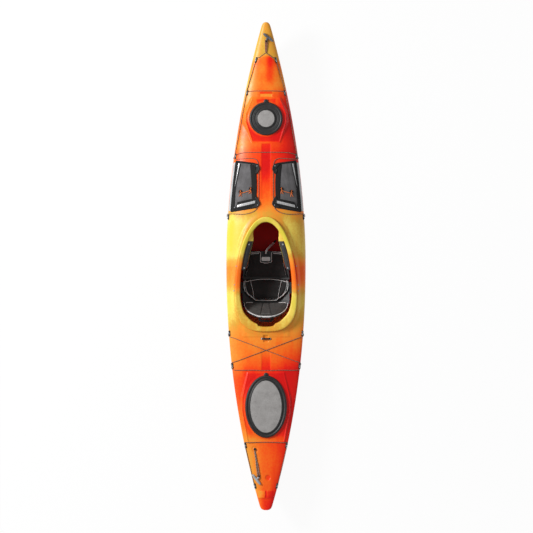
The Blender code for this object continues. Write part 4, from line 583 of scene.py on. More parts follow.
# A point in plan on the coaming, from the opening's edge, 0, to the lip's, 1.
def rimPlace(angle, share):
    c = coaming
    inner = eggPoint(angle, c["openingHalf"], c["widestY"] + c["openingShift"], c["openingFront"],
        c["openingRear"], c["openingRearPower"])
    outer = eggPoint(angle, c["half"], c["widestY"], c["front"], c["rear"], c["rearPower"])
    x, y = (a + (b - a) * share for a, b in zip(inner, outer))
    beside = smoothStep(c["notchHalf"] - 0.006, c["notchHalf"] + 0.008,
        np.abs(x)) * (1 - smoothStep(0.14, 0.19, np.abs(x)))
    ahead = c["notchDepth"] * beside * (1 - smoothStep(0.1, 0.6, share)) * (np.sin(angle) < -0.5)
    return x, y + ahead


# Height of the coaming's rim, which rises towards the bow.
def rimHeight(y):
    c = coaming
    share = np.clip((y - (c["widestY"] - c["rear"])) / (c["rear"] + c["front"]), 0, 1)
    return c["rearHeight"] + (c["frontHeight"] - c["rearHeight"]) * share ** c["slopePower"]


def eggOutline(share, count=120):
    return np.stack(rimPlace(fullTurn(count), share), -1)


# Hatches, deck pockets and the smaller shapes moulded into the deck.
hatches = {
    "bow": {"y": 0.605 * bowY, "half": (0.133, 0.133), "panel": 0.0655, "pad": (0.165, 0.165, 0.190, 0.113)},
    "stern": {"y": -0.575 * bowY, "half": (0.1665, 0.249), "panel": 0.041, "pad": (0.196, 0.272, 0.290, 0.150)},
}
for hatch in hatches.values():
    hatch["level"] = float(fairLine(deckLine, hatch["y"])) + 0.003
pocket = {
    "frontY": 0.424 * bowY, "rearY": 0.245 * bowY, "skew": 0.030, "innerX": 0.098, "waist": 0.012,
    "edgeInset": 0.034,
    "depth": 0.042, "crown": 0.004, "frontInset": 0.013, "frontSkew": 0.020,
}
moulded = {
    "spineHalf": 0.036, "spineDepth": 0.0026, "spines": ((0.535, 0.978), (-0.834, -0.662)),
    "shelf": (-0.562, 0.19, 0.004),
    "dimple": (0.0, -0.5767, 0.019, 0.028, 0.008), "sternDish": (0.015, -1.686, 0.024, 0.005),
    "anchorDish": (-0.089, -1.4594, 0.027, 0.0035), "sternStep": (-1.852, 0.004), "nosePanel": 0.0045,
}


# A hatch's oval in plan, drawn in from its edge.
def hatchOval(hatch, inset=0.0, steps=60):
    turn = fullTurn(steps)
    halfX, halfY = hatch["half"]
    return np.stack([(halfX - inset) * np.cos(turn), hatch["y"] + (halfY - inset) * np.sin(turn)], -1)


# The flat that is moulded round a hatch, in plan.
def padOutline(hatch):
    half, front, rear, corner = hatch["pad"]
    right = ((corner, front), (half, front - 0.35 * (front + rear)), (half, 0.45 * (front + rear) - rear),
        (corner, -rear))
    right = [(0.97 * x, hatch["y"] + 0.985 * y) for x, y in right]
    return right + [(-x, y) for x, y in reversed(right)]


# Plan of a pocket: s from its inner side to the gunwale, t from its rear to its front.
def pocketPlan(s, t, grow=0.0):
    s, t = np.asarray(s, float), np.asarray(t, float)
    rear = pocket["rearY"] - grow - pocket["skew"] * s
    front = pocket["frontY"] + grow - pocket["frontInset"] + pocket["frontSkew"] * s
    y = rear + (front - rear) * t
    inner = pocket["innerX"] - pocket["waist"] * np.sin(math.pi * t) - grow
    outer = halfBeam(y) - pocket["edgeInset"] + grow
    return inner + (outer - inner) * s, y


# The outline of a pocket in plan, drawn outwards by grow.
def pocketOutline(grow, count=14):
    run = np.arange(count) / count
    sides = ((run, 0 * run), (0 * run + 1, run), (1 - run, 0 * run + 1), (0 * run, 1 - run))
    return np.concatenate([np.stack(pocketPlan(s, t, grow), -1) for s, t in sides])


coamingEdge = eggOutline(1.0)
pocketEdge = pocketOutline(-0.002)
noseRight = ((0.001, 1.699), (0.036, 1.673), (0.060, 1.655), (0.074, 1.632), (0.088, 1.605), (0.100, 1.560),
    (0.116, 1.490), (0.132, 1.420))
nosePanel = list(noseRight) + [(-x, y) for x, y in reversed(noseRight)]


# Height of the deck with all that is moulded into it, and masks that the colour also uses.
def deckForm(x, y):
    x, y = np.broadcast_arrays(np.asarray(x, float), np.asarray(y, float))
    height = plainDeck(x, y)
    masks = {}
    away = outlineDistance(x, y, coamingEdge)
    frontness = smoothStep(0.10, 0.34, y)
    rise = np.clip(rimHeight(y) - 0.026 - height, 0, 0.024 - 0.006 * frontness)
    masks["plinth"] = 1 - smoothStep(0.002, 0.040 + 0.006 * frontness, away)
    height = height + rise * masks["plinth"]
    masks["underLip"] = 1 - smoothStep(0.002, 0.007, np.abs(away - 0.001))
    for hatch in hatches.values():
        outside = outlineDistance(x, y, padOutline(hatch))
        pad = hatch["level"] - 1.5 * np.clip(outside, 0, None) - 0.002 * smoothStep(-0.03, 0, outside)
        blend = np.clip(0.5 + 0.5 * (pad - height) / 0.010, 0, 1)
        height = height * (1 - blend) + pad * blend + 0.010 * blend * (1 - blend)
        fromCover = outlineDistance(x, y, hatchOval(hatch))
        tray = smoothStep(0.0, 0.012, -outside) * smoothStep(0.005, 0.015, fromCover)
        masks["tray"] = np.maximum(masks.get("tray", 0.0), tray)
        behind = 1 - smoothStep(hatch["y"] - 0.10, hatch["y"] + 0.10, y)
        height = height - tray * (0.0018 + 0.0022 * behind)
    masks["recess"] = smoothStep(0.0, 0.014, -outlineDistance(np.abs(x), y, pocketEdge))
    height = height - pocket["depth"] * masks["recess"]
    spine = np.zeros(x.shape)
    for low, high in moulded["spines"]:
        inside = smoothStep(low - 0.006, low + 0.006, y) * (1 - smoothStep(high - 0.006, high + 0.006, y))
        spine = np.maximum(spine, inside * (1 - smoothStep(moulded["spineHalf"] - 0.008,
                    moulded["spineHalf"] + 0.006, np.abs(x))))
    masks["spine"] = spine
    height = height - moulded["spineDepth"] * spine
    shelfY, shelfHalf, shelfRise = moulded["shelf"]
    shelf = smoothStep(shelfY - 0.003, shelfY + 0.004,
        y) * (1 - smoothStep(-0.5, -0.46, y)) * (1
        - smoothStep(shelfHalf - 0.02, shelfHalf + 0.01, np.abs(x)))
    height = height + shelfRise * shelf
    masks["shelf"] = shelf
    cx, cy, halfX, halfY, depth = moulded["dimple"]
    masks["dimple"] = (1 - smoothStep(halfX - 0.004, halfX + 0.002, np.abs(x - cx))) * (1
        - smoothStep(halfY - 0.004, halfY + 0.002, np.abs(y - cy)))
    height = height - (depth + shelfRise * shelf) * masks["dimple"]
    for key in ("sternDish", "anchorDish"):
        cx, cy, radius, depth = moulded[key]
        off = np.hypot(x - cx, y - cy)
        dish = 1 - smoothStep(radius - 0.008, radius, off)
        if key == "anchorDish":
            dish = dish * smoothStep(0.011, 0.016, off)
        masks[key] = dish
        height = height - depth * dish
    nose = 1 - smoothStep(-0.006, 0.002, outlineDistance(x, y, nosePanel))
    masks["nose"] = nose
    height = height + moulded["nosePanel"] * nose * smoothStep(1.44, 1.56, y)
    step = (1 - smoothStep(0.046, 0.050, np.abs(x))) * smoothStep(1.349, 1.354,
        y) * (1 - smoothStep(1.372, 1.377, y))
    masks["bowStep"] = step
    masks["stepBar"] = (1 - smoothStep(0.046, 0.050, np.abs(x))) * smoothStep(1.375, 1.379,
        y) * (1 - smoothStep(1.388, 1.393, y))
    height = height - 0.003 * step
    stepY, stepDrop = moulded["sternStep"]
    masks["sternEnd"] = 1 - smoothStep(stepY - 0.004, stepY + 0.003, y)
    height = height - stepDrop * masks["sternEnd"] * (1 - smoothStep(0.05, 0.068, np.abs(x)))
    roof = smoothStep(-1.850, -1.843, y) * (1 - smoothStep(-1.796, -1.786, y))
    masks["roof"] = roof * (1 - smoothStep(0.052, 0.066, np.abs(x)))
    groove = roof * (1 - smoothStep(0.005, 0.009, np.abs(x)))
    masks["groove"] = groove
    height = height + 0.004 * masks["roof"] * (1 - np.clip(np.abs(x) / 0.07, 0, 1)) - 0.004 * groove
    return height, masks


def deckHeight(x, y):
    return deckForm(x, y)[0]


# The way that a surface faces, from the slopes over 1.5 mm either way.
def surfaceNormal(heightAt, x, y):
    step = 0.0015
    slopeX = (heightAt(x + step, y) - heightAt(x - step, y)) / (2 * step)
    slopeY = (heightAt(x, y + step) - heightAt(x, y - step)) / (2 * step)
    normal = np.stack([-slopeX, -slopeY, np.ones_like(slopeX)], -1)
    return normal / np.linalg.norm(normal, axis=-1, keepdims=True)


# Points on a surface, raised along the way that it faces.
def raised(heightAt, places, lift):
    places = np.asarray(places, float)
    x, y = places[:, 0], places[:, 1]
    return np.stack([x, y, heightAt(x, y)], -1) + surfaceNormal(heightAt, x, y) * np.asarray(lift,
        float).reshape(-1, 1)


def onDeck(places, lift):
    return raised(deckHeight, places, lift)


# Over the pockets: on the deck's plain curve, which the mesh panel spans.
def onPlain(places, lift):
    return raised(plainDeck, places, lift)


def deckNormal(x, y):
    return surfaceNormal(deckHeight, np.array([x]), np.array([y]))[0]


# Colour of the moulding: 0 is yellow, 0.5 is orange and 1 is red. Bands run from bow to stern.
colourBands = (
    (sternY, 0.84), (-1.86, 0.80), (-1.80, 0.66), (-1.60, 0.58), (-1.40, 0.62), (-1.26, 0.80), (-1.10, 0.94),
    (-0.95, 0.97),
    (-0.87, 0.88), (-0.79, 0.66), (-0.68, 0.52), (-0.55, 0.40), (-0.42, 0.22), (-0.27, 0.14), (-0.20, 0.26),
    (-0.13, 0.46),
    (-0.04, 0.50), (0.04, 0.40), (0.12, 0.14), (0.32, 0.12), (0.41, 0.24), (0.49, 0.44), (0.57, 0.60),
    (0.72, 0.72), (0.90, 0.78),
    (0.98, 0.66), (1.10, 0.78), (1.24, 0.72), (1.36, 0.58), (1.46, 0.46), (1.56, 0.56), (1.66, 0.70),
    (1.694, 0.30), (bowY, 0.27),
)


def deckTone(x, y, masks):
    half = halfBeam(y)
    side = x / half
    # The tone leans across the deck: partly the moulding's own drift of colour, partly painted light and shade,
    # paler on the lit port side and redder on the starboard side.
    lean = np.sign(side) * np.abs(side) ** 1.5
    strength = 0.08 + 0.20 * smoothStep(0.55, 0.9, np.abs(y)) * (1 - smoothStep(1.34, 1.46, y))
    tone = fairLine(colourBands, y + 0.25 * x * x * np.sign(y)) + strength * lean
    tone = tone - 0.20 * np.abs(side) ** 4 * smoothStep(1.36, 1.46, y)
    # Painted shade and light on the crown of the foredeck: a red streak just to starboard of the centre line
    # and a paler streak to port.
    red = np.exp(-((x - 0.030) / 0.030) ** 2) * smoothStep(1.42, 1.5, y) * (1 - smoothStep(1.66, 1.70, y))
    tone = tone + 0.22 * red - 0.16 * np.exp(-((x + 0.03) / 0.05) ** 2) * smoothStep(1.5, 1.6,
        y) * (1 - smoothStep(1.66, 1.7, y))
    # The bare nose is golden, painted a little redder to starboard as painted shade.
    tip = smoothStep(1.60, 1.66, y)
    bare = (0.27 + 0.05 * side) * (1 - masks["nose"]) * tip
    tone = np.where(y > 1.60, tone * masks["nose"] + bare + tone * (1 - masks["nose"]) * (1 - tip), tone)
    tone = tone + 0.20 * masks["spine"] * np.where(y > 0, smoothStep(0.62, 0.80, y),
        smoothStep(0.66, 0.78, -y))
    # Painted shade: the plinth round the coaming is painted amber, darker than the yellow deck beside it, for
    # the shade on its slope.
    plinthShade = smoothStep(0.03, 0.16, masks["plinth"]) * smoothStep(0.04, 0.24, y)
    tone = tone * (1 - plinthShade) + (0.235 + 0.02 * smoothStep(0.3, 0.42, y)) * plinthShade - 0.02 * masks["shelf"]
    # Painted shade in the trays round the hatches: red behind the bow hatch and in front of it, and red in the
    # front of the stern tray. The rear of the stern tray is painted paler, a painted highlight.
    rearPart = 1 - smoothStep(hatches["bow"]["y"] - 0.05, hatches["bow"]["y"] + 0.02, y)
    red = masks["tray"] * (y > 0) * (0.24 * rearPart + 0.16 * (np.abs(x) < 0.075) * smoothStep(1.29, 1.31, y))
    tone = tone + red + masks["tray"] * (y < 0) * (0.08 - 0.22 * (1 - smoothStep(-1.40, -1.32, y)))
    tone = tone - 0.20 * masks["bowStep"] + 0.24 * masks["stepBar"]
    # Painted shade: a red line just outside the coaming on the starboard side, under its lip.
    tone = tone + 0.6 * masks["underLip"] * (x > 0) * smoothStep(-0.16, -0.06,
        y) * (1 - smoothStep(0.08, 0.14, y))
    # Painted light and shade on the stern's moulded roof: its port slope paler, its starboard slope redder and
    # its centre groove red.
    tone = tone + masks["roof"] * np.clip(x / 0.03, -1,
        1) * 0.17 + 0.2 * masks["groove"] + 0.12 * masks["sternDish"]
    return np.clip(tone, 0, 1)


# Gives the points of a piece of the moulding their tones.
def setTone(piece, tone):
    attribute = piece.data.attributes.new("tone", "FLOAT", "POINT")
    attribute.data.foreach_set("value", tone.astype(np.float32).ravel())


# Outer skin: dense sections from keel to deck and back, with the hatch and cockpit mouths left out.
def hullSkin():
    reach = hull["bluntReach"]
    tips = reach * (1 - np.cos(np.linspace(0, math.pi / 2, 9))[:-1])
    ends = np.concatenate([sternY + tips, bowY - tips])
    middle = np.arange(sternY + reach, bowY - reach, hull["stationStep"])
    y = np.sort(np.concatenate([ends, middle]))[:, None]
    half, low, middleZ, high = halfBeam(y), keelHeight(y), sheerHeight(y), fairLine(deckLine, y)
    power = bottomPower(y)
    under = (np.linspace(0, 1, hull["bottomSteps"] + 1)[:-1] * math.pi / 2)[None, :]
    bottomX = half * np.sin(under) ** (2 / power)
    bottomZ = middleZ - (middleZ - low) * np.cos(under) ** (2 / power)
    over = (np.linspace(0, 1, hull["deckSteps"] + 1) * math.pi / 2)[None, :]
    deckX = half * np.cos(over) ** (2 / hull["deckPower"])
    deckX[:, -1] = 0.0
    spread = deckX / np.maximum(half, 1e-9)
    deckX = half * (0.35 * spread + 0.65 * np.linspace(1, 0, deckX.shape[1])[None, :] ** 0.9)
    deckX[:, 0] = half[:, 0]
    wideY = np.broadcast_to(y, deckX.shape)
    starZ, starMasks = deckForm(deckX, wideY)
    portZ, portMasks = deckForm(-deckX[:, :-1], wideY[:, :-1])
    starTone = deckTone(deckX, wideY, starMasks)
    portTone = deckTone(-deckX[:, :-1], wideY[:, :-1], portMasks)
    x = np.concatenate([bottomX, deckX, -deckX[:, -2::-1], -bottomX[:, :0:-1]], 1)
    z = np.concatenate([bottomZ, starZ, portZ[:, ::-1], bottomZ[:, :0:-1]], 1)
    sideTone = starTone[:, :1] + np.zeros(bottomX.shape)
    otherTone = portTone[:, :1] + np.zeros(bottomX[:, 1:].shape)
    tone = np.concatenate([sideTone, starTone, portTone[:, ::-1], otherTone], 1)
    grid = np.stack([x, np.broadcast_to(y, x.shape), z], -1)

    cockpitEdge = eggOutline(0.17)
    collarInset = 0.0158
    mouths = [hatchOval(hatch, collarInset) for hatch in hatches.values()]

    def keep(centres):
        onTop = centres[:, 2] > sheerHeight(centres[:, 1])
        mouth = np.zeros(len(centres), bool)
        for outline in [cockpitEdge] + mouths:
            mouth |= outlineDistance(centres[:, 0], centres[:, 1], outline, 0.02) < 0
        return ~(onTop & mouth)

    skin = gridPiece("hull_skin", grid, hullPlastic, keep=keep, crease=60.0)
    setTone(skin, tone)
    return skin


skin = settle(hullSkin(), "hull", "hull_polyethylene", "hull_shell")
print("hull skin:", len(skin.data.polygons), "faces")


# Gives a piece of the moulding its own tone, from a function of its points.
def paintTone(piece, toneAt):
    points = np.array([vertex.co for vertex in piece.data.vertices])
    setTone(piece, np.clip(toneAt(points), 0, 1))


# The inner face of the hull below the deck's edge, one wall in from the skin.
def lining():
    y = np.arange(sternY + 0.12, bowY - 0.14, 0.02)[:, None]
    wall = hull["wall"]
    half, low, middleZ = halfBeam(y) - wall, keelHeight(y) + wall, sheerHeight(y)
    power = bottomPower(y)
    under = np.linspace(-1, 1, 61)[None, :] * math.pi / 2
    x = half * np.sign(under) * np.abs(np.sin(under)) ** (2 / power)
    z = middleZ - (middleZ - low) * np.abs(np.cos(under)) ** (2 / power)
    return gridPiece("hull_lining", np.stack([x, np.broadcast_to(y, x.shape), z], -1), insidePlastic,
        around=False)


settle(lining(), "hull", "hull_polyethylene")


# The coaming's section: share from the opening to the lip, part of the way up to the rim, height.
rimSection = (
    (0.02, 0.0, -0.014), (0.0, 0.5, -0.012), (0.0, 1.0, -0.013), (0.05, 1.0, -0.0075), (0.18, 1.0, -0.0040),
    (0.38, 1.0, -0.0018),
    (0.60, 1.0, -0.0002), (0.78, 1.0, 0.0), (0.92, 1.0, -0.0022), (1.0, 1.0, -0.0080), (0.985, 1.0, -0.0140),
    (0.93, 1.0, -0.0178),
    (0.75, 1.0, -0.0180), (0.52, 1.0, -0.0165), (0.41, 1.0, -0.0190), (0.36, 0.6, -0.016), (0.35, 0.0, -0.012),
)


# The coaming, swept round the cockpit.
def coamingRim():
    section = route(np.array(rimSection), 0.05)
    angle = fullTurn(coaming["steps"])
    rows = []
    for share, up, height in section:
        x, y = rimPlace(angle, share)
        rows.append(np.stack([x, y, plainDeck(x, y) * (1 - up) + rimHeight(y) * up + height], -1))
    grid = np.stack(rows, 1)
    rim = gridPiece("coaming_rim", grid, hullPlastic, around=False, ring=True, crease=70.0)

    def tone(points):
        x, y, z = points.T
        bands = fairLine(((-0.53, 0.26), (-0.40, 0.16), (-0.24, 0.10), (-0.17, 0.40), (-0.08, 0.52),
                (0.02, 0.42), (0.12, 0.08), (0.25, 0.0), (0.42, 0.05)), y)
        # Painted shade: the rim is painted redder where it lies below its top, on the inner face and under the
        # lip, and on the starboard side amidships.
        inner = smoothStep(0.006, 0.016, rimHeight(y) - z)
        return bands + 0.20 * inner + 0.10 * (x > 0) * smoothStep(-0.2, 0.1,
            y) * (1 - smoothStep(0.1, 0.2, y))

    paintTone(rim, tone)
    return settle(rim, "hull", "hull_polyethylene")


coamingRim()


# A profile carried round a hatch's oval.
def ringPiece(name, hatch, section, finish, ring=False):
    steps = 112
    rows = []
    for inset, height in section:
        rows.append(np.column_stack([hatchOval(hatch, inset, steps),
                    np.full(steps, hatch["level"] + height)]))
    return gridPiece(name, rows, finish, ring=ring, capped=not ring, crease=50.0)


# Hatch collar, cover and panel. Each profile is distance in from the edge and height above the pad.
coverBead = (
    (0.012, 0.0123), (0.012, 0.0008), (0.004, 0.0004), (0.0006, 0.0020), (0.0, 0.0060), (0.0004, 0.0105),
    (0.0022, 0.0145),
    (0.0055, 0.0176), (0.0100, 0.0190), (0.0145, 0.0184), (0.0178, 0.0166), (0.0200, 0.0150), (0.0225, 0.0148),
)
collarBead = ((0.0123, -0.030), (0.0123, 0.0095), (0.0135, 0.0117), (0.0180, 0.0117), (0.0193, 0.0100),
    (0.0193, -0.030))
plateBead = (
    (0.0006, 0), (0.0004, 0.0022), (0.0018, 0.0036), (0.0045, 0.0040), (0.0060, 0.0034), (0.0075, 0.0036),
    (0.02, 0.0044), (0.04, 0.0049), (0.06, 0.0050),
)
tabBead = ((-0.012, 0.020), (0.0, 0.0185), (0.008, 0.0165), (0.015, 0.0145), (0.019, 0.0115),
    (0.0205, 0.0075))
ribs = {"first": 0.0265, "beforePanel": 0.022, "apart": 0.009, "low": 0.0150, "high": 0.0160}
for name, hatch in hatches.items():
    collar = ringPiece(f"{name}_hatch_collar", hatch, collarBead, hullPlastic, ring=True)
    paintTone(collar, lambda points: 0.8 + 0 * points[:, 0])
    settle(collar, "hull", "hull_polyethylene")
    panel = hatch["panel"]
    ribBead = []
    at = ribs["first"]
    while at < panel - ribs["beforePanel"]:
        ribBead += [(at, ribs["low"]), (at + 0.0015, ribs["high"]), (at + 0.0035, ribs["high"]),
            (at + 0.005, ribs["low"])]
        at += ribs["apart"]
    lip = ((panel - 0.0130, 0.0152), (panel - 0.0105, 0.0168), (panel - 0.0085, 0.0198),
           (panel - 0.0060, 0.0210),
           (panel - 0.0025, 0.0210), (panel - 0.0008, 0.0203), (panel - 0.0003, 0.0176))
    cover = ringPiece(f"{name}_hatch_cover_rubber", hatch, list(coverBead) + ribBead + list(lip), hatchRubber)
    tabY = hatch["y"] + hatch["half"][1]
    tabRows = []
    for ahead, halfWidth in tabBead:
        edge = 0.0062 if ahead < 0.019 else 0.0045
        z = hatch["level"] + 0.0040
        outline = ((-1, 0), (-1, edge * 0.7), (-0.8, edge), (0.8, edge), (1, edge * 0.7), (1, 0))
        tabRows.append([(x * halfWidth, tabY + ahead, z + up) for x, up in outline])
    tab = gridPiece("tab", tabRows, hatchRubber)
    cover = joined(f"{name}_hatch_rubber", [cover, tab])
    settle(cover, f"{name}_hatch", "hatch_rubber", f"{name}_hatch_cover")
    seat = 0.0178
    disc = ringPiece(f"{name}_hatch_plate", hatch, [(panel + inset, seat + up) for inset, up in plateBead],
        hatchAbs)
    settle(disc, f"{name}_hatch", "hatch_panel", f"{name}_hatch_panel")
print("hatches made")


bothSides = ((-1, "left"), (1, "right"))


# Thigh ledges and the braces on them: s from the coaming inwards, t from rear to front.
ledge = {"frontY": -0.115 * bowY + 0.464, "rearY": -0.115 * bowY + 0.184, "width": 0.046, "drop": 0.022,
    "thickness": 0.006}


# A point on a thigh ledge, raised by rise.
def ledgePoint(side, s, t, rise):
    y = ledge["rearY"] + (ledge["frontY"] - ledge["rearY"]) * t
    width = ledge["width"] * (1 - 0.4 * np.minimum(np.abs(2 * t - 1), 1) ** 4) * (1
        - smoothStep(0.94, 1.2, t))
    share = (y - (coaming["widestY"] + coaming["openingShift"])) / coaming["openingFront"]
    x = coaming["openingHalf"] * np.sqrt(np.clip(1 - share * share, 0, 1)) + 0.004 - (width + 0.004) * s
    return np.stack([side * x, y + 0 * s, rimHeight(y) - ledge["drop"] - 0.012 * s * s + rise], -1)


# A padded or moulded plate over (s, t): rise gives its thickness off the base at each point.
def platePiece(name, pointAt, rise, base, finish, columns, rows, crease=55.0):
    s = np.linspace(0, 1, columns + 1)
    grid = []
    for t in np.linspace(0, 1, rows + 1):
        top = pointAt(s, t + 0 * s, rise(s, t + 0 * s))
        bottom = pointAt(s, t + 0 * s, base + 0 * s)
        grid.append(np.concatenate([top, bottom[::-1]]))
    return gridPiece(name, grid, finish, crease=crease)


# 0 at the edges of a plate and 1 on it, rounded between.
def roundedEdge(s, t, wide=0.08, long=0.04):
    fromSide = np.clip(np.minimum(s, 1 - s) / wide, 0, 1)
    fromEnd = np.clip(np.minimum(t, 1 - t) / long, 0, 1)
    return np.sqrt(np.clip(1 - (1 - fromSide) ** 2, 0, 1)) * np.sqrt(np.clip(1 - (1 - fromEnd) ** 2, 0, 1))


# A screw's domed head with its socket.
def screwPiece(name, place, normal, radius, finish=steel):
    head = ((-0.0005, 1), (0.0006, 1), (0.0016, 0.82), (0.0022, 0.5), (0.0021, 0.42), (0.0012, 0.38))
    return turnedPiece(name, place, normal, [(height, share * radius) for height, share in head], finish, 18)


for side, name in bothSides:
    shelf = platePiece("ledge", lambda s, t, rise: ledgePoint(side, s, 0.06 + 1.13 * t, rise), lambda s,
        t: 0 * s, -ledge["thickness"], hullPlastic, 8, 48)
    shelf.name = f"thigh_ledge_{name}"
    paintTone(shelf, lambda points: 0.12 + 0.5 * (1 - smoothStep(0.0, 0.1, points[:, 1])))
    settle(shelf, "hull", "hull_polyethylene")

    def bracePoint(s, t, rise, side=side):
        return ledgePoint(side, 0.10 + 0.88 * s, 0.035 + 0.825 * t, rise)

    def braceRise(s, t):
        rib = 0.0012 * np.exp(-((s - 0.5) / 0.10) ** 2) * np.clip(np.sin(math.pi * t) * 1.5, 0, 1)
        return 0.0008 + 0.0040 * roundedEdge(s, t, 0.16, 0.03) + rib

    brace = platePiece("brace", bracePoint, braceRise, 0.0006, bracePlastic, 24, 90)
    screws = []
    for s, t in ((0.55, 0.08), (0.40, 0.89)):
        spot = bracePoint(np.array([s]), np.array([t]), np.array([0.0048]))[0]
        screws.append(screwPiece("screw", spot, (0, 0, 1), 0.0065, paleNylon))
    brace = joined(f"thigh_brace_plate_{name}", [brace] + screws)
    settle(brace, "hull", "moulded_plastic", f"thigh_brace_{name}")

    def padPoint(s, t, rise, side=side):
        return ledgePoint(side, 0.24 + 0.86 * s, 0.08 + 0.84 * t, rise)

    def padRise(s, t):
        return -ledge["thickness"] - 0.0012 - 0.0165 * roundedEdge(s, t, 0.30, 0.10)

    pad = platePiece("pad", padPoint, padRise, -ledge["thickness"] - 0.0011, padFoam, 20, 60)
    pad.name = f"thigh_pad_foam_{name}"
    settle(pad, "hull", "closed_cell_foam", f"thigh_pad_{name}")
print("thigh braces made")


# Pad eyes: a black saddle with two humps and a pale sleeve between them, held by two screws.
eye = {
    "halfLength": 0.022, "halfWidth": 0.009, "height": 0.0115, "bore": 0.0056, "screwOut": 0.0125,
    "screwUp": 0.0108,
    "lineReach": 0.024, "lineClear": 0.0006, "lineDip": 0.0018, "crossInset": 0.0125,
}
screwRadius = {"eye": 0.0026, "pocket": 0.0044, "loop": 0.0044, "deck": 0.0050}


def eyeMesh():
    rows = []
    for share in np.linspace(-1, 1, 29):
        end = math.sqrt(max(0.0, 1 - abs(share) ** 4))
        hump = 0.62 + 0.38 * math.exp(-((abs(share) - 0.55) / 0.26) ** 2)
        wide = eye["halfWidth"] * (0.55 + 0.45 * end) * (1 - 0.18 * math.exp(-(share / 0.28) ** 2))
        tall = eye["height"] * hump * (0.42 + 0.58 * end)
        turn = np.linspace(0, math.pi, 13)
        x = wide * np.sign(np.cos(turn)) * np.abs(np.cos(turn)) ** 0.7
        z = tall * np.sin(turn) ** 0.75
        rows.append(np.stack([x, np.full(13, share * eye["halfLength"]), z], -1))
    body = gridPiece("body", rows, blackNylon, crease=50.0)
    sleeve = sweep("sleeve", [(0, -0.0062, 0.0036), (0, -0.002, 0.0038), (0, 0.002, 0.0038),
            (0, 0.0062, 0.0036)], roundSection(0.0056, 14), paleNylon)
    ends = [screwPiece("screw", (0, share * eye["screwOut"], eye["screwUp"]), (0, 0, 1), screwRadius["eye"])
        for share in (-1, 1)]
    return joined("eye", [body, sleeve] + ends)


eyePattern = eyeMesh()
eyeNames = ("bow", "fore", "middle", "pocket", "cockpit", "rear_deck", "aft", "stern")
eyes = {}
for name in eyeNames:
    for side, sideName in bothSides:
        node = f"pad_eye_{name}_{sideName}"
        low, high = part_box(node)
        centre = (low + high) / 2
        ahead = Vector((side * float(halfBeam(centre.y + 0.02) - halfBeam(centre.y - 0.02)), 0.04,
                0)).normalized()
        normal = Vector(deckNormal(centre.x, centre.y))
        ahead = (ahead - normal * ahead.dot(normal)).normalized()
        across = ahead.cross(normal)
        seat = centre - normal * eye["height"] * 0.5
        turn = Matrix((across, ahead, normal)).transposed().to_4x4()
        piece = bpy.data.objects.new(f"deck_eye_{name}_{sideName}", eyePattern.data)
        scene.collection.objects.link(piece)
        piece.matrix_world = Matrix.Translation(seat) @ turn
        settle(piece, "hull", "black_nylon", node)
        eyes[name, side] = {"centre": np.array(centre), "ahead": np.array(ahead), "across": np.array(across),
            "normal": np.array(normal)}
bpy.data.objects.remove(eyePattern, do_unlink=True)


# The two ends of the stretch of line inside an eye, front end first, with the line's lift there.
def throughEye(name, side, frontFirst=True):
    spot = eyes[name, side]
    ends = []
    for share in (1, 0, -1):
        ends.append((*(spot["centre"] + spot["ahead"] * share * eye["lineReach"])[:2],
                eye["bore"] + eye["lineClear"] - eye["lineDip"] * abs(share)))
    return ends if frontFirst else ends[::-1]


lines = {"radius": 0.0026, "rest": 0.0034, "spacing": 0.008}


# Lays a line on the deck through (x, y, lift) points, smoothed in plan.
def layLine(name, points, node):
    points = route(points, lines["spacing"])
    laid = onDeck(points[:, :2], points[:, 2])
    settle(cordPiece(name, laid, lines["radius"], deckCord), "hull", "deck_line", node)
    print(name, "is", round(float(np.linalg.norm(np.diff(laid, axis=0), axis=1).sum()), 2), "m long")


# The same points on the other side of the boat.
def flip(points):
    return [(-point[0], *point[1:]) for point in points]


rest = lines["rest"]
bowVY = bowY - 0.247
roundPocket = {  # the line round a pocket, out from its front and rear inner corners
    "front": ((0.030, 0.036), (-0.008, 0.032), (-0.032, 0.010), (-0.040, -0.040), (-0.040, -0.160)),
    "rear": ((-0.040, 0.070), (-0.036, 0.010), (-0.008, -0.034), (0.070, -0.060)),
}
sideRoute = [(pocket["innerX"] + x, pocket[end + "Y"] + y, rest) for end in ("front", "rear") for x,
    y in roundPocket[end]]
half = [(0.010, bowVY - 0.006, rest), (0.034, bowVY - 0.0215, rest), (0.056, bowVY - 0.0365, rest)]
half += throughEye("bow", 1) + throughEye("fore", 1) + throughEye("middle",
    1) + sideRoute + throughEye("pocket", 1)[:2]
layLine("deck_line_front", flip(half)[::-1] + [(0.0, bowVY, rest)] + half, "front_deck_line")


# A cross line between a pair of eyes, which bows ahead by forward amidships.
def crossPoints(name, startAhead, forward):
    spot = eyes[name, 1]
    start = spot["centre"] - spot["across"] * eye["crossInset"] + spot["ahead"] * startAhead
    x, y = abs(start[0]), start[1]
    right = [(x, y, rest + 0.003), (0.95 * x, y + 0.3 * forward, rest + 0.0015),
        (0.88 * x, y + 0.58 * forward, rest), (0.66 * x, y + 0.92 * forward, rest)]
    return flip(right) + [(0.0, y + forward, rest)] + right[::-1]


layLine("deck_line_bow_cross", crossPoints("fore", 0.010, 0.006), "bow_cross_line")
layLine("deck_line_fore_cross", crossPoints("middle", 0.010, 0.020), "fore_cross_line")
sternFront = hatches["stern"]["y"] + hatches["stern"]["half"][1] + 0.037


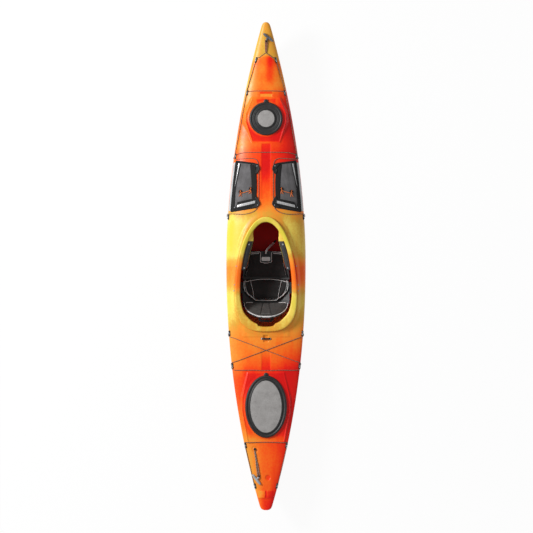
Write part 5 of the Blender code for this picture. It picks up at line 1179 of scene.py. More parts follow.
# The rear bungee: crossed strands from the cockpit's eyes to the next pair, then round ahead of the hatch.
def bungeeRoute():
    cockpit = {side: throughEye("cockpit", side) for side in (-1, 1)}
    rear = {side: throughEye("rear_deck", side) for side in (-1, 1)}

    def strand(side, lift):
        start, end = np.array(cockpit[side][-1]), np.array(rear[-side][0])
        points = []
        for share in np.linspace(0, 1, 14)[1:-1]:
            spot = start + (end - start) * share
            spot[2] = rest + lift * math.exp(-(spot[0] / 0.030) ** 2)
            points.append(tuple(spot))
        return points

    back = [(rear[1][2][0] - 0.030, rear[1][2][1] - 0.010, rest), (0.10, sternFront + 0.004, rest),
        (0.0, sternFront, rest)]
    points = cockpit[-1][1:] + strand(-1, 0.0056) + rear[1]
    points += back + flip(back[:-1])[::-1] + rear[-1][::-1] + strand(1, 0.0)[::-1] + cockpit[1][1:][::-1]
    return points


layLine("deck_line_rear", bungeeRoute(), "rear_deck_bungee")
stern = throughEye("stern", 1, False)
aft = throughEye("aft", 1, False)
sternHalf = stern[1:] + aft + [(aft[-1][0] - 0.024, aft[-1][1] + 0.002, rest),
    (0.6 * aft[-1][0], aft[-1][1] + 0.003, rest)]
layLine("deck_line_stern", sternHalf + [(0.0, aft[-1][1] + 0.004, rest)] + flip(sternHalf)[::-1],
    "stern_deck_line")
print("deck lines laid")


# A thin strip between two lines in plan, with rounded edges.
def stripPiece(name, side, lineA, lineB, low, high, finish, across=8, spacing=0.006):
    lineA, lineB = (route([(*point, 0.0) for point in line], spacing) for line in (lineA, lineB))
    count = max(len(lineA), len(lineB))
    even = [np.stack([np.interp(np.linspace(0, 1, count), np.linspace(0, 1, len(line)), line[:, axis])
                for axis in (0, 1)], -1) for line in (lineA, lineB)]
    share = np.linspace(0, 1, across + 1)
    edge = np.sqrt(1 - (1 - np.clip(np.minimum(share, 1 - share) / 0.14, 0, 1)) ** 2)
    grid = []
    for a, b in zip(*even):
        places = a + (b - a) * share[:, None]
        places[:, 0] *= side
        top = onPlain(places, low + (high - low) * (0.25 + 0.75 * edge))
        grid.append(np.concatenate([top, onPlain(places, low + 0 * share)[::-1]]))
    return gridPiece(name, grid, finish, crease=60.0)


# A moulded pad with a rounded top, from its outline in plan.
def blobPiece(name, side, outline, low, high, finish):
    edge = route([(*point, 0.0) for point in outline], 0.004, True)[:, :2]
    centre = edge.mean(0)
    grid = []
    for shrink, share in ((0.0, 0.0), (0.0, 0.55), (0.03, 0.85), (0.08, 0.98), (0.16, 1.0), (0.35, 0.9),
            (0.6, 0.86), (0.95, 0.86)):
        places = edge + (centre - edge) * shrink
        places[:, 0] *= side
        grid.append(onPlain(places, low + (high - low) * share + 0 * places[:, 0]))
    return gridPiece(name, grid, finish, crease=50.0)


# Deck pockets: a stretch mesh panel in a bound edge, with reflective tape and corner fittings.
pocketSet = {
    "panelGrow": 0.006, "panelLift": 0.0020, "panelThickness": 0.0012, "bindingWide": 0.0078,
    "bindingTall": 0.0044,
    "tabs": ((0.2000, 0.5935), (0.1212, 0.6160)), "screw": (0.2460, 0.4700),
    "strip": ((0.2285, 0.4795), (0.0850, 0.5135)),
    "hookTop": ((0.1100, 0.8150), (0.0830, 0.8215), (0.0606, 0.8100), (0.0480, 0.7800), (0.0560, 0.7580),
                (0.0760, 0.7330), (0.0850, 0.7560), (0.0800, 0.7840), (0.0900, 0.7980)),
    "hookLow": ((0.1100, 0.4685), (0.0831, 0.4645), (0.0561, 0.4805), (0.0471, 0.5055), (0.0600, 0.5335),
                (0.0760, 0.5595), (0.0850, 0.5375), (0.0800, 0.5055), (0.0930, 0.4865)),
    "hookScrews": ((0.0700, 0.8000), (0.0665, 0.4885)),
}


# A line along the gunwale, at a distance in from it.
def insetLine(low, high, inset):
    return [(float(halfBeam(y)) - inset, float(y)) for y in np.linspace(low, high, 9)]


# One pocket: mesh panel, bound edge and bands, tapes, fittings and pull cords.
def deckPocket(side, name):
    p = pocketSet
    rows, columns = 73, 49
    s, t = np.meshgrid(np.linspace(0, 1, columns), np.linspace(0, 1, rows))
    px, py = pocketPlan(s, t, p["panelGrow"])
    # The panel is drawn tight towards the gunwale, so shallow folds fan out from its rear corner.
    fan = np.sin((s * 7.5 + 1.1 * t) * math.pi) * np.exp(-((s - 0.62) / 0.26) ** 2) * (0.25 + 0.75 * t)
    lift = p["panelLift"] + pocket["crown"] * np.clip(np.sin(math.pi * s) * np.sin(math.pi * t), 0,
        1) * 0.6 + 0.0011 * fan * np.sin(math.pi * s)
    flat = np.stack([side * px, py], -1).reshape(-1, 2)
    top = onPlain(flat, (lift + p["panelThickness"]).ravel()).reshape(rows, columns, 3)
    under = onPlain(flat, lift.ravel()).reshape(rows, columns, 3)
    panel = gridPiece(f"pocket_panel_{name}", np.concatenate([top, under[:, ::-1]], 1), pocketMesh,
        crease=60.0)
    edge = pocketOutline(p["panelGrow"], 24) * (side, 1)
    ring = route([(*point, 0.0) for point in edge], 0.006, True)
    turn = fullTurn(12)
    oval = np.stack([p["bindingWide"] * np.cos(turn), p["bindingTall"] * np.sin(turn)], -1)
    binding = sweep("binding", onPlain(ring[:, :2], p["panelLift"] + 0.0012), oval, blackTape, True)
    inner = [tuple(map(float, pocketPlan(0.0, t, 0.004))) for t in np.linspace(0.06, 0.99, 12)]
    wide = [0.012, 0.020, 0.026, 0.030, 0.032, 0.033, 0.034, 0.034, 0.034, 0.034, 0.034, 0.033]
    outer = [(x + w, y) for (x, y), w in zip(inner, wide)]
    band = stripPiece("band", side, inner, outer, 0.0034, 0.0066, blackTape)
    low, high = 0.4415, 0.829
    white = stripPiece("white", side, insetLine(low + 0.002, high, 0.0050), insetLine(low, high, 0.0255),
        0.0016, 0.0042, whiteTape)
    slanted = [(x - 0.012 * (1 - (y - low) / (high - low)), y) for x,
        y in insetLine(low + 0.012, high, 0.0420)]
    edgeBand = stripPiece("edgeBand", side, insetLine(low, high, 0.0250), slanted, 0.0034, 0.0076, blackTape)
    # A pale strip with the tape's finish along a fold in the mesh: a painted highlight of the fold.
    fold = stripPiece("fold", side, [(0.2180, 0.8200), (0.2270, 0.7600), (0.2370, 0.6900), (0.2440, 0.6400)],
                      [(0.2040, 0.8200), (0.2170, 0.7600), (0.2320, 0.6900), (0.2425, 0.6400)], 0.0060, 0.0080,
                      whiteTape, 5)
    foldEdge = stripPiece("foldEdge", side, [(0.2035, 0.8200), (0.2165, 0.7600), (0.2315, 0.6900),
                                             (0.2420, 0.6200), (0.2500, 0.5400)],
                          [(0.1960, 0.8200), (0.2100, 0.7600), (0.2260, 0.6900), (0.2380, 0.6200),
                           (0.2470, 0.5400)], 0.0058, 0.0080, blackTape, 4)
    (ax, ay), (bx, by) = p["strip"]
    rear = stripPiece("rearBand", side, [(ax + 0.020, ay - 0.026), (bx - 0.004, by - 0.032)],
        [(ax - 0.006, ay + 0.034), (bx - 0.002, by + 0.030)], 0.0060, 0.0086, blackTape)
    tape = stripPiece("rearTape", side, [(ax, ay - 0.010), (bx, by - 0.010)],
        [(ax - 0.004, ay + 0.011), (bx, by + 0.011)], 0.0084, 0.0100, whiteTape)
    pieces = [binding, band, edgeBand, foldEdge, rear]
    for outline in (p["hookTop"], p["hookLow"]):
        pieces.append(blobPiece("hook", side, outline, 0.0010, 0.0125, blackNylon))
    for x, y in p["hookScrews"] + (p["screw"],):
        spot = onPlain(np.array([[side * x, y]]), [0.0114 if (x, y) != p["screw"] else 0.0086])[0]
        pieces.append(screwPiece("screw", spot, deckNormal(side * x, y), screwRadius["pocket"], paleNylon))
    for x, y in p["tabs"]:
        ring = [(x + 0.0150 * math.cos(a), y + 0.0165 * math.sin(a))
            for a in np.linspace(0, 2 * math.pi, 10)[:-1]]
        pieces.append(blobPiece("tab", side, ring, 0.0058, 0.0112, blackTape))
    trim = joined(f"pocket_binding_tape_{name}", pieces)
    settle(trim, "hull", "black_webbing", f"pocket_binding_{name}")
    # The reflective tapes and the painted highlight of the fold go in one piece.
    tapes = joined(f"pocket_reflective_tape_{name}", [white, fold, tape])
    settle(tapes, "hull", "black_webbing")
    cords = []
    for (x, y), tail in zip(p["tabs"], ((-0.008, 0.012), (0.014, -0.004))):
        loop = [(x + 0.003, y + 0.012, 0.0125), (x - 0.003, y + 0.004, 0.0130),
            (x + 0.003, y - 0.006, 0.0128), (x - 0.002, y - 0.012, 0.0124)]
        cords.append(loop)
        for reach in tail:
            cords.append([(x - 0.001, y - 0.013, 0.0124), (x - 0.002 + reach * 0.5, y - 0.024, 0.0112),
                    (x + reach, y - 0.038, 0.0108)])
    (ax, ay), (bx, by) = p["tabs"]
    cords.append([(ax - 0.002, ay - 0.012, 0.0124), ((ax + bx) / 2, (ay + by) / 2 - 0.013, 0.0110),
            (bx + 0.002, by - 0.012, 0.0124)])
    made = []
    for points in cords:
        line = route(points, 0.003)
        made.append(cordPiece("cord", onPlain(line[:, :2] * (side, 1), line[:, 2]), 0.0024, orangeCord,
                sides=8))
    knot = ((-0.003, 0.0015), (-0.0015, 0.0033), (0.0006, 0.0036), (0.0022, 0.0026), (0.003, 0.0008))
    for x, y in p["tabs"]:
        spot = onPlain(np.array([[side * x, y - 0.013]]), [0.0118])[0]
        made.append(turnedPiece("knot", spot, (0.3, 0.2, 1), knot, orangeCord, 12))
    pulls = joined(f"pocket_pull_cords_{name}", made)
    settle(pulls, "hull", "lashing_cord")
    settle(panel, "hull", "stretch_mesh", f"pocket_mesh_{name}")
    wide = float(np.linalg.norm(np.diff(top, axis=1), axis=-1).sum(1).max())


for side, name in bothSides:
    deckPocket(side, name)


# Toggles: a turned nylon bar on a boss, tied to its point with two strands of cord.
toggleSet = {"half": 0.0803 * 0.635, "ahead": 0.0378 * 0.635, "radius": 0.0112, "bossRadius": 0.0096,
    "cord": {"bow_toggle": 0.0040, "stern_toggle": 0.0034}}


def togglePiece(name, boss, degrees, finish, start, twist, cord):
    t = toggleSet
    low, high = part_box(name)
    angle = math.radians(degrees)
    across = Vector((math.cos(angle), math.sin(angle), 0))
    ahead = Vector((-across.y, across.x, 0)) * (1 if boss[1] > 0 else -1)
    seat = Vector((*boss, float(deckHeight(*boss))))
    centre = seat + ahead * t["ahead"]
    middle = (low.z + high.z) / 2
    tips = [centre + across * sign * t["half"] for sign in (-1, 1)]
    under = [deckHeight(tip.x * 0.8 + centre.x * 0.2, tip.y * 0.8 + centre.y * 0.2) for tip in tips]
    lean = float(under[1] - under[0]) / 1.6
    for sign, tip in zip((-1, 1), tips):
        tip.z = middle + sign * lean
    axis = tips[1] - tips[0]
    r = t["radius"]
    profile = ((0, 0.0030), (0.012, 0.0056), (0.05, 0.0078), (0.12, 0.0092), (0.2, 0.0099), (0.3, r),
               (0.38, 0.0098), (0.45, 0.0104),
               (0.55, 0.0104), (0.62, 0.0098), (0.7, r), (0.8, 0.0099), (0.88, 0.0092), (0.95, 0.0078),
               (0.988, 0.0056), (1, 0.0030))
    rings = [(share * axis.length, radius) for share, radius in profile]
    bar = turnedPiece("bar", tips[0], axis, rings, finish, 28)
    base = seat + Vector(deckNormal(*boss)) * (r + 0.0012)
    top = (tips[0] + tips[1]) / 2
    reach = (top - base).length
    stalk = ((-0.001, 0.003), (0.001, 0.0062), (0.006, 0.0090), (0.4 * reach, t["bossRadius"]),
        (reach, 0.0074))
    neck = turnedPiece("neck", base - ahead * 0.004, top - base, stalk, finish)
    grip = joined(f"{name}_grip", [bar, neck])
    settle(grip, name, "toggle_nylon", name)
    start = Vector((*start, 0))
    end = Vector((*boss, 0)) - ahead * 0.002
    strands = []
    aside = Vector((-(end - start).y, (end - start).x, 0)).normalized()
    for phase in (0, math.pi):
        points = []
        for share in np.linspace(0, 1, 25):
            spot = start + (end - start) * share
            turn = phase + (2 * math.pi * twist * min(share / 0.45, 1) if twist else 0)
            wide = 0.0040 if twist and share < 0.45 else 0.0034 + 0.0042 * share
            spot += aside * math.cos(turn) * wide
            points.append((spot.x, spot.y, 0.0050 + (math.sin(turn) * 0.0026 if twist and share < 0.45
                        else 0.0) + 0.003 * share))
        line = onDeck([(x, y) for x, y, _ in points], [z for _, _, z in points])
        strands.append(cordPiece("strand", line, t["cord"][name], cord))
    along, side, up = np.array((end - start).normalized()), np.array(aside), np.array([0, 0, 1])
    for back in (0.0, 0.007):  # wraps of the knot by the boss
        spot = end + (start - end).normalized() * (0.006 + back)
        place = onDeck([(spot.x, spot.y)], [0.008])[0]
        loop = []
        for a in fullTurn(16):
            loop.append(place + side * 0.0090 * math.cos(a) + up * 0.0052 * math.sin(a) + along * 0.0012
                * math.sin(2 * a))
        strands.append(cordPiece("wrap", loop, 0.0026, blackTape, True))
    tie = joined(f"{name}_cord", strands)
    settle(tie, name, "lashing_cord", f"{name}_lashing")


togglePiece(
    "bow_toggle", boss=(0.004, bowY - 0.142), degrees=-38, finish=darkToggle, start=(0.0, bowVY + 0.006),
    twist=0,
    cord=lashCord)
low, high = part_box("stern_toggle_anchor")
anchorX, anchorY = (low.x + high.x) / 2, (low.y + high.y) / 2
sternBoss = {"behindAnchor": 0.225, "beamShare": -0.51897}
bossY = anchorY - sternBoss["behindAnchor"]
bossX = sternBoss["beamShare"] * float(halfBeam(bossY))
togglePiece(
    "stern_toggle", boss=(bossX, bossY), degrees=-51, finish=paleToggle, start=(anchorX, anchorY - 0.012),
    twist=2,
    cord=greyCord)
seatZ = float(deckHeight(anchorX, anchorY))
rings = ((-0.004, 0.0108), (0.0028, 0.0110), (0.0040, 0.0100), (0.0048, 0.0072), (0.0070, 0.0066),
    (0.0085, 0.0078), (0.0098, 0.0092), (0.0112, 0.0090), (0.0122, 0.0060), (0.0116, 0.0034),
    (0.0100, 0.0030))
anchor = turnedPiece("stern_anchor_post", (anchorX, anchorY, seatZ), deckNormal(anchorX, anchorY), rings,
    blackNylon, 28)
settle(anchor, "hull", "black_nylon", "stern_toggle_anchor")


# Lock loop: a flat bar over the dimple behind the cockpit, with a screw at each end.
loopSet = {"y": -0.5767, "half": 0.0405, "wide": 0.0068, "rise": 0.0100, "thickness": 0.0044}


def lockLoop():
    points = []
    for share in np.linspace(-1, 1, 33):
        flat = float(1 - smoothStep(0.62, 0.90, abs(share)))
        x = share * loopSet["half"]
        points.append((x, loopSet["y"], float(plainDeck(x, loopSet["y"])) + 0.0028 + loopSet["rise"] * 0.55
                * flat))
    bar = sweep("bar", points, flatSection(loopSet["wide"], loopSet["thickness"]), blackNylon, crease=50.0)
    pads = []
    for side in (-1, 1):
        x = side * (loopSet["half"] - 0.0085)
        z = float(plainDeck(x, loopSet["y"]))
        pads.append(turnedPiece("end", (x, loopSet["y"], z), (side * 0.05, 0, 1),
                ((-0.003, 0.0085), (0.0038, 0.0084), (0.0052, 0.0068), (0.0056, 0.004)), paleNylon, 22))
        pads.append(screwPiece("screw", (x, loopSet["y"], z + 0.0052), (0, 0, 1), screwRadius["loop"]))
    made = joined("lock_loop_bar", [bar] + pads)
    settle(made, "hull", "stainless_steel", "lock_loop")


lockLoop()


# Screws through the deck that hold the seat brackets and braces.
screwSpots = ((-0.2362, 0.0032), (0.2426, 0.0032), (-0.2522, -0.1460), (-0.2562, -0.1939), (0.2578, -0.1460),
    (0.2578, -0.1939))
for index, (x, y) in enumerate(screwSpots):
    spot = onDeck([(x, y)], [0.0])[0]
    made = screwPiece(f"deck_screw_{index + 1}", spot, deckNormal(x, y), screwRadius["deck"], paleNylon)
    settle(made, "hull", "stainless_steel")
print("deck fittings made")


# Seat pan: its floor line, and the hollow that rises to the sides.
panLine = ((-0.3277, 0.094), (-0.2677, 0.074), (-0.2077, 0.064), (-0.0937, 0.064), (0.0163, 0.078),
    (0.1243, 0.102))


# Height of the seat pan's upper face.
def panTop(x, y):
    places, heights = np.array(panLine).T
    return np.interp(y, places, heights) + 0.028 * np.clip((np.abs(x) - 0.120) / 0.068, 0, None)


# Cushions: each CAD form is shrunk, remeshed and puffed up with cloth pressure, then smoothed.
cushionSet = {"voxel": 0.0045, "shrink": 0.0025, "pressure": 4.0, "cap": 0.0065, "frames": 14}


def puffUp(node, name, finish, outward, wider=1.0):
    c = cushionSet
    source = bpy.data.objects[node]
    mesh = source.data.copy()
    mesh.transform(Matrix.Diagonal((wider, 1.0, 1.0, 1.0)))
    mesh.materials.clear()
    piece = bpy.data.objects.new(name, mesh)
    scene.collection.objects.link(piece)
    remesh = piece.modifiers.new("remesh", "REMESH")
    remesh.mode, remesh.voxel_size, remesh.use_smooth_shade = "VOXEL", c["voxel"], True
    smooth = piece.modifiers.new("smooth", "SMOOTH")
    smooth.factor, smooth.iterations = 0.5, 3
    applyAll(piece)
    mesh = piece.data
    count = len(mesh.vertices)
    normals, start = np.empty(count * 3), np.empty(count * 3)
    mesh.vertices.foreach_get("normal", normals)
    mesh.vertices.foreach_get("co", start)
    normals, start = normals.reshape(-1, 3), start.reshape(-1, 3)
    facing = normals @ np.asarray(Vector(outward).normalized())
    moved = start - normals * c["shrink"] * (facing > -0.4)[:, None]
    mesh.vertices.foreach_set("co", moved.ravel())
    mesh.update()
    under = piece.vertex_groups.new(name="under")
    under.add([int(i) for i in np.nonzero(facing < -0.4)[0]], 1.0, "REPLACE")
    cloth = piece.modifiers.new("cloth", "CLOTH").settings
    cloth.use_pressure, cloth.uniform_pressure_force = True, c["pressure"]
    cloth.effector_weights.gravity = 0
    cloth.tension_stiffness = cloth.compression_stiffness = 18
    cloth.bending_stiffness = 1.0
    cloth.vertex_group_mass = "under"
    for number in range(1, c["frames"] + 1):
        scene.frame_set(number)
    applyAll(piece)
    scene.frame_set(1)
    mesh = piece.data
    puffed = np.empty(count * 3)
    mesh.vertices.foreach_get("co", puffed)
    travel = puffed.reshape(-1, 3) - moved
    length = np.linalg.norm(travel, axis=1, keepdims=True)
    travel *= np.minimum(1, c["cap"] / np.maximum(length, 1e-9))
    mesh.vertices.foreach_set("co", (moved + travel).ravel())
    piece.modifiers.new("finer", "SUBSURF").levels = 1
    applyAll(piece)
    piece.data.materials.append(finish)
    piece.data.shade_smooth()
    return piece


# Bakes a piece's modifiers into its mesh.
def applyAll(piece):
    bpy.context.view_layer.update()
    made = bpy.data.meshes.new_from_object(piece.evaluated_get(bpy.context.evaluated_depsgraph_get()))
    piece.modifiers.clear()
    piece.vertex_groups.clear()
    piece.data = made


# Presses sewn channels into a cushion and rounds its panels. Each seam is a line on its surface.
def pressSeams(piece, seams, outward, depth=0.0042, width=0.0042):
    mesh = piece.data
    points = np.empty(len(mesh.vertices) * 3)
    normals = np.empty(len(mesh.vertices) * 3)
    mesh.vertices.foreach_get("co", points)
    mesh.vertices.foreach_get("normal", normals)
    points, normals = points.reshape(-1, 3), normals.reshape(-1, 3)
    side = np.asarray(Vector(outward).normalized())
    best = np.full(len(points), 1.0)
    for seam in seams:
        a, b = seam[:-1], seam[1:]
        for p, q in zip(a, b):
            step = q - p
            share = np.clip((points - p) @ step / (step @ step), 0, 1)
            off = points - p - share[:, None] * step
            off -= (off @ side)[:, None] * side * 0.7
            best = np.minimum(best, np.linalg.norm(off, axis=1))
    pressed = depth * np.exp(-(best / width) ** 2) - 0.0006 * np.exp(-((best - 0.012) / 0.005) ** 2)
    top = smoothStep(-0.1, 0.4, normals @ side)
    mesh.vertices.foreach_set("co", (points - side * (pressed * top)[:, None]).ravel())
    mesh.update()


# Lines drawn in plan, dropped onto a piece's surface along a direction.
def dropOn(piece, points, direction, lift=0.0):
    tree = BVHTree.FromPolygons([vertex.co for vertex in piece.data.vertices],
        [face.vertices for face in piece.data.polygons])
    down = Vector(direction).normalized()
    found = []
    for point in route(points, 0.005):
        start = Vector(point) - down * 0.25
        place, normal, _, _ = tree.ray_cast(start, down)
        if place is None:
            place, normal, _, _ = tree.find_nearest(Vector(point))
        found.append(np.array(place + normal * lift))
    found = np.array(found)
    for _ in range(2):
        found[1:-1] = 0.5 * found[1:-1] + 0.25 * (found[:-2] + found[2:])
    return found


down = (0, 0, -1)
stitch = {"every": 0.0060, "length": 0.0036, "radius": 0.0006, "lift": 0.0004, "arch": 0.0003}


def piping(piece, line, lift, radius, finish=greyPiping, direction=down):
    return cordPiece("piping", dropOn(piece, line, direction, lift), radius, finish)


# Sewing thread along a seam: short stitches, each a tiny capsule, 6 mm apart.
def stitches(piece, line):
    points = route(dropOn(piece, line, down, stitch["lift"]), stitch["every"])
    made = []
    for a, b in zip(points[:-1], points[1:]):
        ahead = (b - a) / np.linalg.norm(b - a)
        crown = a + ahead * stitch["length"] * 0.5 + (0, 0, stitch["arch"])
        made.append(cordPiece("stitch", [a, crown, a + ahead * stitch["length"]], stitch["radius"],
                greyPiping, sides=5))
    return joined("stitches", made)


def legCushion():
    piece = puffUp("leg_rest_cushion", "leg_rest_pad", seatCloth, (0, 0, 1))
    low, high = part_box("leg_rest_cushion")
    z = high.z
    notch = [(-0.046, 0.1160, z), (-0.0455, 0.092, z), (-0.0455, 0.060, z), (-0.043, 0.042, z),
        (-0.028, 0.031, z)]
    notch += [(0.0, 0.028, z)] + flip(notch)[::-1]
    wings = []
    for side in (-1, 1):
        wings.append([(side * 0.050, 0.1170, z), (side * 0.085, 0.1160, z), (side * 0.122, 0.1130, z)])
        wings.append([(side * 0.058, 0.1050, z), (side * 0.090, 0.1040, z), (side * 0.128, 0.1000, z)])
    wide = [(-0.160, -0.070, z), (-0.156, 0.0, z), (-0.146, 0.060, z), (-0.132, 0.106, z)]
    seams = [dropOn(piece, wide, down), dropOn(piece, flip(wide), down)]
    pressSeams(piece, seams, (0, 0, 1), 0.0030, 0.0040)
    trims = [piping(piece, line, 0.0013, 0.0028) for line in [notch] + wings]
    trims += [stitches(piece, line) for line in (wide, flip(wide))]
    trims.append(labelPiece((-0.001, 0.0600), 0.0350, 0.0165))
    trim = joined("leg_rest_piping", trims)
    settle(piece, "leg_rest", "seat_fabric", "leg_rest_cushion")
    settle(trim, "leg_rest", "seat_fabric")


# A label with nothing printed on it, on the lift plate in the cushion's notch, with faint raised lines.
def labelPiece(centre, halfX, halfY):
    grid = []
    for t in np.linspace(-1, 1, 15):
        x = centre[0] + halfX * (1 - 0.10 * t * t) * np.linspace(-1, 1, 15)
        y = centre[1] + halfY * t
        low = float(panTop(0.0, y)) + 0.0060
        top = low + 0.0024 + 0.0005 * math.cos(t * 9.4)
        grid.append([(v, y, top) for v in x] + [(v, y, low) for v in x[::-1]])
    return gridPiece("label", grid, labelVinyl, crease=60.0)


def seatCushion():
    piece = puffUp("seat_cushion", "seat_pad", seatCloth, (0, 0, 1), 1.04)
    low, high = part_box("seat_cushion")
    z = high.z
    front = [(x, -0.0990 - 0.021 * (x / 0.168) ** 2, z) for x in np.linspace(-0.168, 0.168, 9)]
    seam = [(0.132, -0.110, z), (0.124, -0.150, z), (0.112, -0.200, z), (0.104, -0.262, z)]
    seamInner = [(x - 0.0075, y, z) for x, y, _ in seam]
    outer = [
        (0.176, -0.118, z), (0.1775, -0.150, z), (0.172, -0.185, z), (0.158, -0.218, z), (0.134, -0.246, z),
        (0.104, -0.2655, z), (0.070, -0.2715, z), (0.0, -0.2725, z),
    ]
    around = outer + flip(outer[:-1])[::-1]
    inside = [(x * 0.945, y + 0.009 * min(1, abs(x) / 0.1), z) for x, y, _ in outer[:6]]
    seams = [dropOn(piece, line, down) for line in (seam, flip(seam))]
    pressSeams(piece, seams, (0, 0, 1), 0.0050, 0.0045)
    # The black cord along the seat's front edge, just ahead of the grey piping, is a painted shadow of the
    # raised edge.
    trims = [piping(piece, front, 0.0004, 0.0020, blackTape), piping(piece, around, 0.0013, 0.0033)]
    trims.append(piping(piece, [(x, y - 0.004, z) for x, y, z in front], 0.0010, 0.0022))
    trims += [piping(piece, line, 0.0008, 0.0017) for line in (inside, flip(inside), seamInner,
            flip(seamInner))]
    trims.append(stitches(piece, [(x, y + 0.010, z) for x, y, z in around[4:-4]]))
    trim = joined("seat_piping", trims)
    settle(piece, "hull", "seat_fabric", "seat_cushion")
    settle(trim, "hull", "seat_fabric")


# Backrest: up its own slope and forward from it, the same as the CAD's.
back = {"pivot": (0.0, -0.31367, 0.134), "lean": math.radians(26), "half": 0.176, "low": 0.012, "high": 0.222}


# A place on the backrest: across, up its slope and forward from it. It curves forward at the sides.
def backPlace(x, up, depth):
    forward = depth + 0.016 * (x / back["half"]) ** 2
    lean = back["lean"]
    return (x, back["pivot"][1] - up * math.sin(lean) + forward * math.cos(lean),
        back["pivot"][2] + up * math.cos(lean) + forward * math.sin(lean))


def backWidth(t, margin):
    return (back["half"] - margin) * (1 - (0.985 * t) ** 2.3) ** (1 / 2.3)


def backrest():
    outward = (0, math.cos(back["lean"]), math.sin(back["lean"]))
    inward = tuple(-v for v in outward)
    piece = puffUp("backrest_cushion", "backrest_pad", backCloth, outward, 1.02)

    def edgeLine(margin, depth, start=0.04):
        right = []
        for t in np.linspace(start, 1, 16):
            up = back["low"] + (back["high"] - back["low"] - margin) * t
            right.append(backPlace(backWidth(t, margin), up, depth))
        return right + flip(right)[::-1]

    rim = edgeLine(0.0008, 0.0145)
    inner = edgeLine(0.0110, 0.022, 0.10)
    low = [backPlace(x, back["low"] + 0.006, 0.015) for x in np.linspace(-0.160, 0.160, 9)]
    flares = []
    for side in (-1, 1):
        flares.append([backPlace(side * x, up, 0.02) for x,
                up in ((0.026, 0.020), (0.028, 0.070), (0.034, 0.130), (0.040, 0.200))])
    pressSeams(piece, [dropOn(piece, line, inward) for line in flares], outward, 0.0046, 0.0040)
    behind = [(x, y - 0.0050, z + 0.0012) for x, y, z in rim]
    trims = [cordPiece("piping", route(line, 0.005), radius, greyPiping) for line,
        radius in ((rim, 0.0040), (behind, 0.0026))]
    trims.append(piping(piece, inner, 0.0004, 0.0016, backCloth, inward))
    trims.append(piping(piece, low, 0.0012, 0.0034, direction=inward))
    for line in flares:
        beside = [(x + math.copysign(0.0035, x), y, z) for x, y, z in line]
        trims.append(piping(piece, beside, 0.0002, 0.0011, blackTape, inward))
    tag = [backPlace(x, 0.196, 0.02) for x in np.linspace(-0.036, 0.036, 7)]
    trims.append(sweep("tag", dropOn(piece, tag, inward, 0.0012), flatSection(0.0062, 0.0014), labelCloth,
            up=outward))
    trim = joined("backrest_piping", trims)
    settle(piece, "backrest", "back_fabric", "backrest_cushion")
    settle(trim, "backrest", "back_fabric")
    path = []
    handleSet = {"half": 0.054, "up": 0.1865, "wide": 0.0098, "thickness": 0.0028}
    bends = ((1.15, -0.0021), (1.08, -0.0024), (0.98, -0.0050), (0.93, -0.0180), (0.91, -0.0330),
        (0.84, -0.0405), (0.50, -0.0430), (0.0, -0.0430))
    for factor, depth in bends:
        path.append(backPlace(handleSet["half"] * factor, handleSet["up"], depth))
    path += flip(path[:-1])[::-1]
    webbing = flatSection(handleSet["wide"], handleSet["thickness"])
    upSlope = (0, -math.sin(back["lean"]), math.cos(back["lean"]))
    handle = sweep("backrest_webbing_handle", route(path, 0.004), webbing, blackTape, up=upSlope)
    settle(handle, "backrest", "black_webbing", "backrest_handle")


labelCloth = wovenCloth("labelCloth", "#4E4B4A", "#6A6766", 1.2, 0.1)
legCushion()
seatCushion()
backrest()
print("cushions made")


# Ladder buckle and pull strap of the leg rest: grey webbing that ends in a black tail.
def liftBuckle():
    low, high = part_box("leg_lift_buckle")
    centre, size = (low + high) / 2, high - low
    halfX, halfY, z0, z1 = size.x / 2, size.y / 2, low.z, high.z
    bars = []
    for y in (-0.92, -0.35, 0.30, 0.92):
        row = centre.y + y * halfY * 0.93
        path = [(centre.x + x * halfX, row, z1 - below) for x,
            below in ((-0.96, 0.0032), (0, 0.0026), (0.96, 0.0032))]
        bars.append(sweep("bar", route(path, 0.003), flatSection(0.0020, 0.0036), blackNylon))
    for side in (-1, 1):
        shape = ((0.86, -0.96, 0.004), (0.90, 0, 0.0048), (0.86, 0.96, 0.004))
        path = [(centre.x + side * halfX * x, centre.y + halfY * y, z0 + above) for x, y, above in shape]
        bars.append(sweep("side", route(path, 0.003), flatSection(0.0027, 0.0075), blackNylon))
    rollerEnd = (centre.x - halfX * 0.45, centre.y + halfY * 0.60, z1 - 0.0028)
    roller = ((0, 0.0032), (0.001, 0.0042), (size.x * 0.42, 0.0046), (size.x * 0.44, 0.0034))
    bars.append(turnedPiece("roller", rollerEnd, (1, 0, 0), roller, buckleAcetal, 18))
    lowCorner = (centre.x - halfX * 0.9, centre.y - halfY * 0.9, z0)
    highCorner = (centre.x + halfX * 0.9, centre.y + halfY * 0.9, z0 + 0.003)
    base = stripBox("base", lowCorner, highCorner, blackNylon)
    made = joined("leg_lift_ladder_buckle", bars + [base])
    settle(made, "leg_rest", "buckle_plastic", "leg_lift_buckle")


# A small plate with rounded corners and a softened top edge.
def stripBox(name, low, high, finish):
    turn = np.linspace(0, 2 * math.pi, 33)[:-1]
    cx, cy = (low[0] + high[0]) / 2, (low[1] + high[1]) / 2
    hx, hy = (high[0] - low[0]) / 2, (high[1] - low[1]) / 2
    shape = np.stack([np.sign(way) * np.abs(way) ** 0.35 for way in (np.cos(turn), np.sin(turn))], -1)
    grid = []
    for inset, z in ((0, low[2]), (0, high[2] - 0.001), (0.0008, high[2] - 0.0002), (0.002, high[2])):
        grid.append([(cx + sx * (hx - inset), cy + sy * (hy - inset), z) for sx, sy in shape])
    return gridPiece(name, grid, finish, crease=40.0)


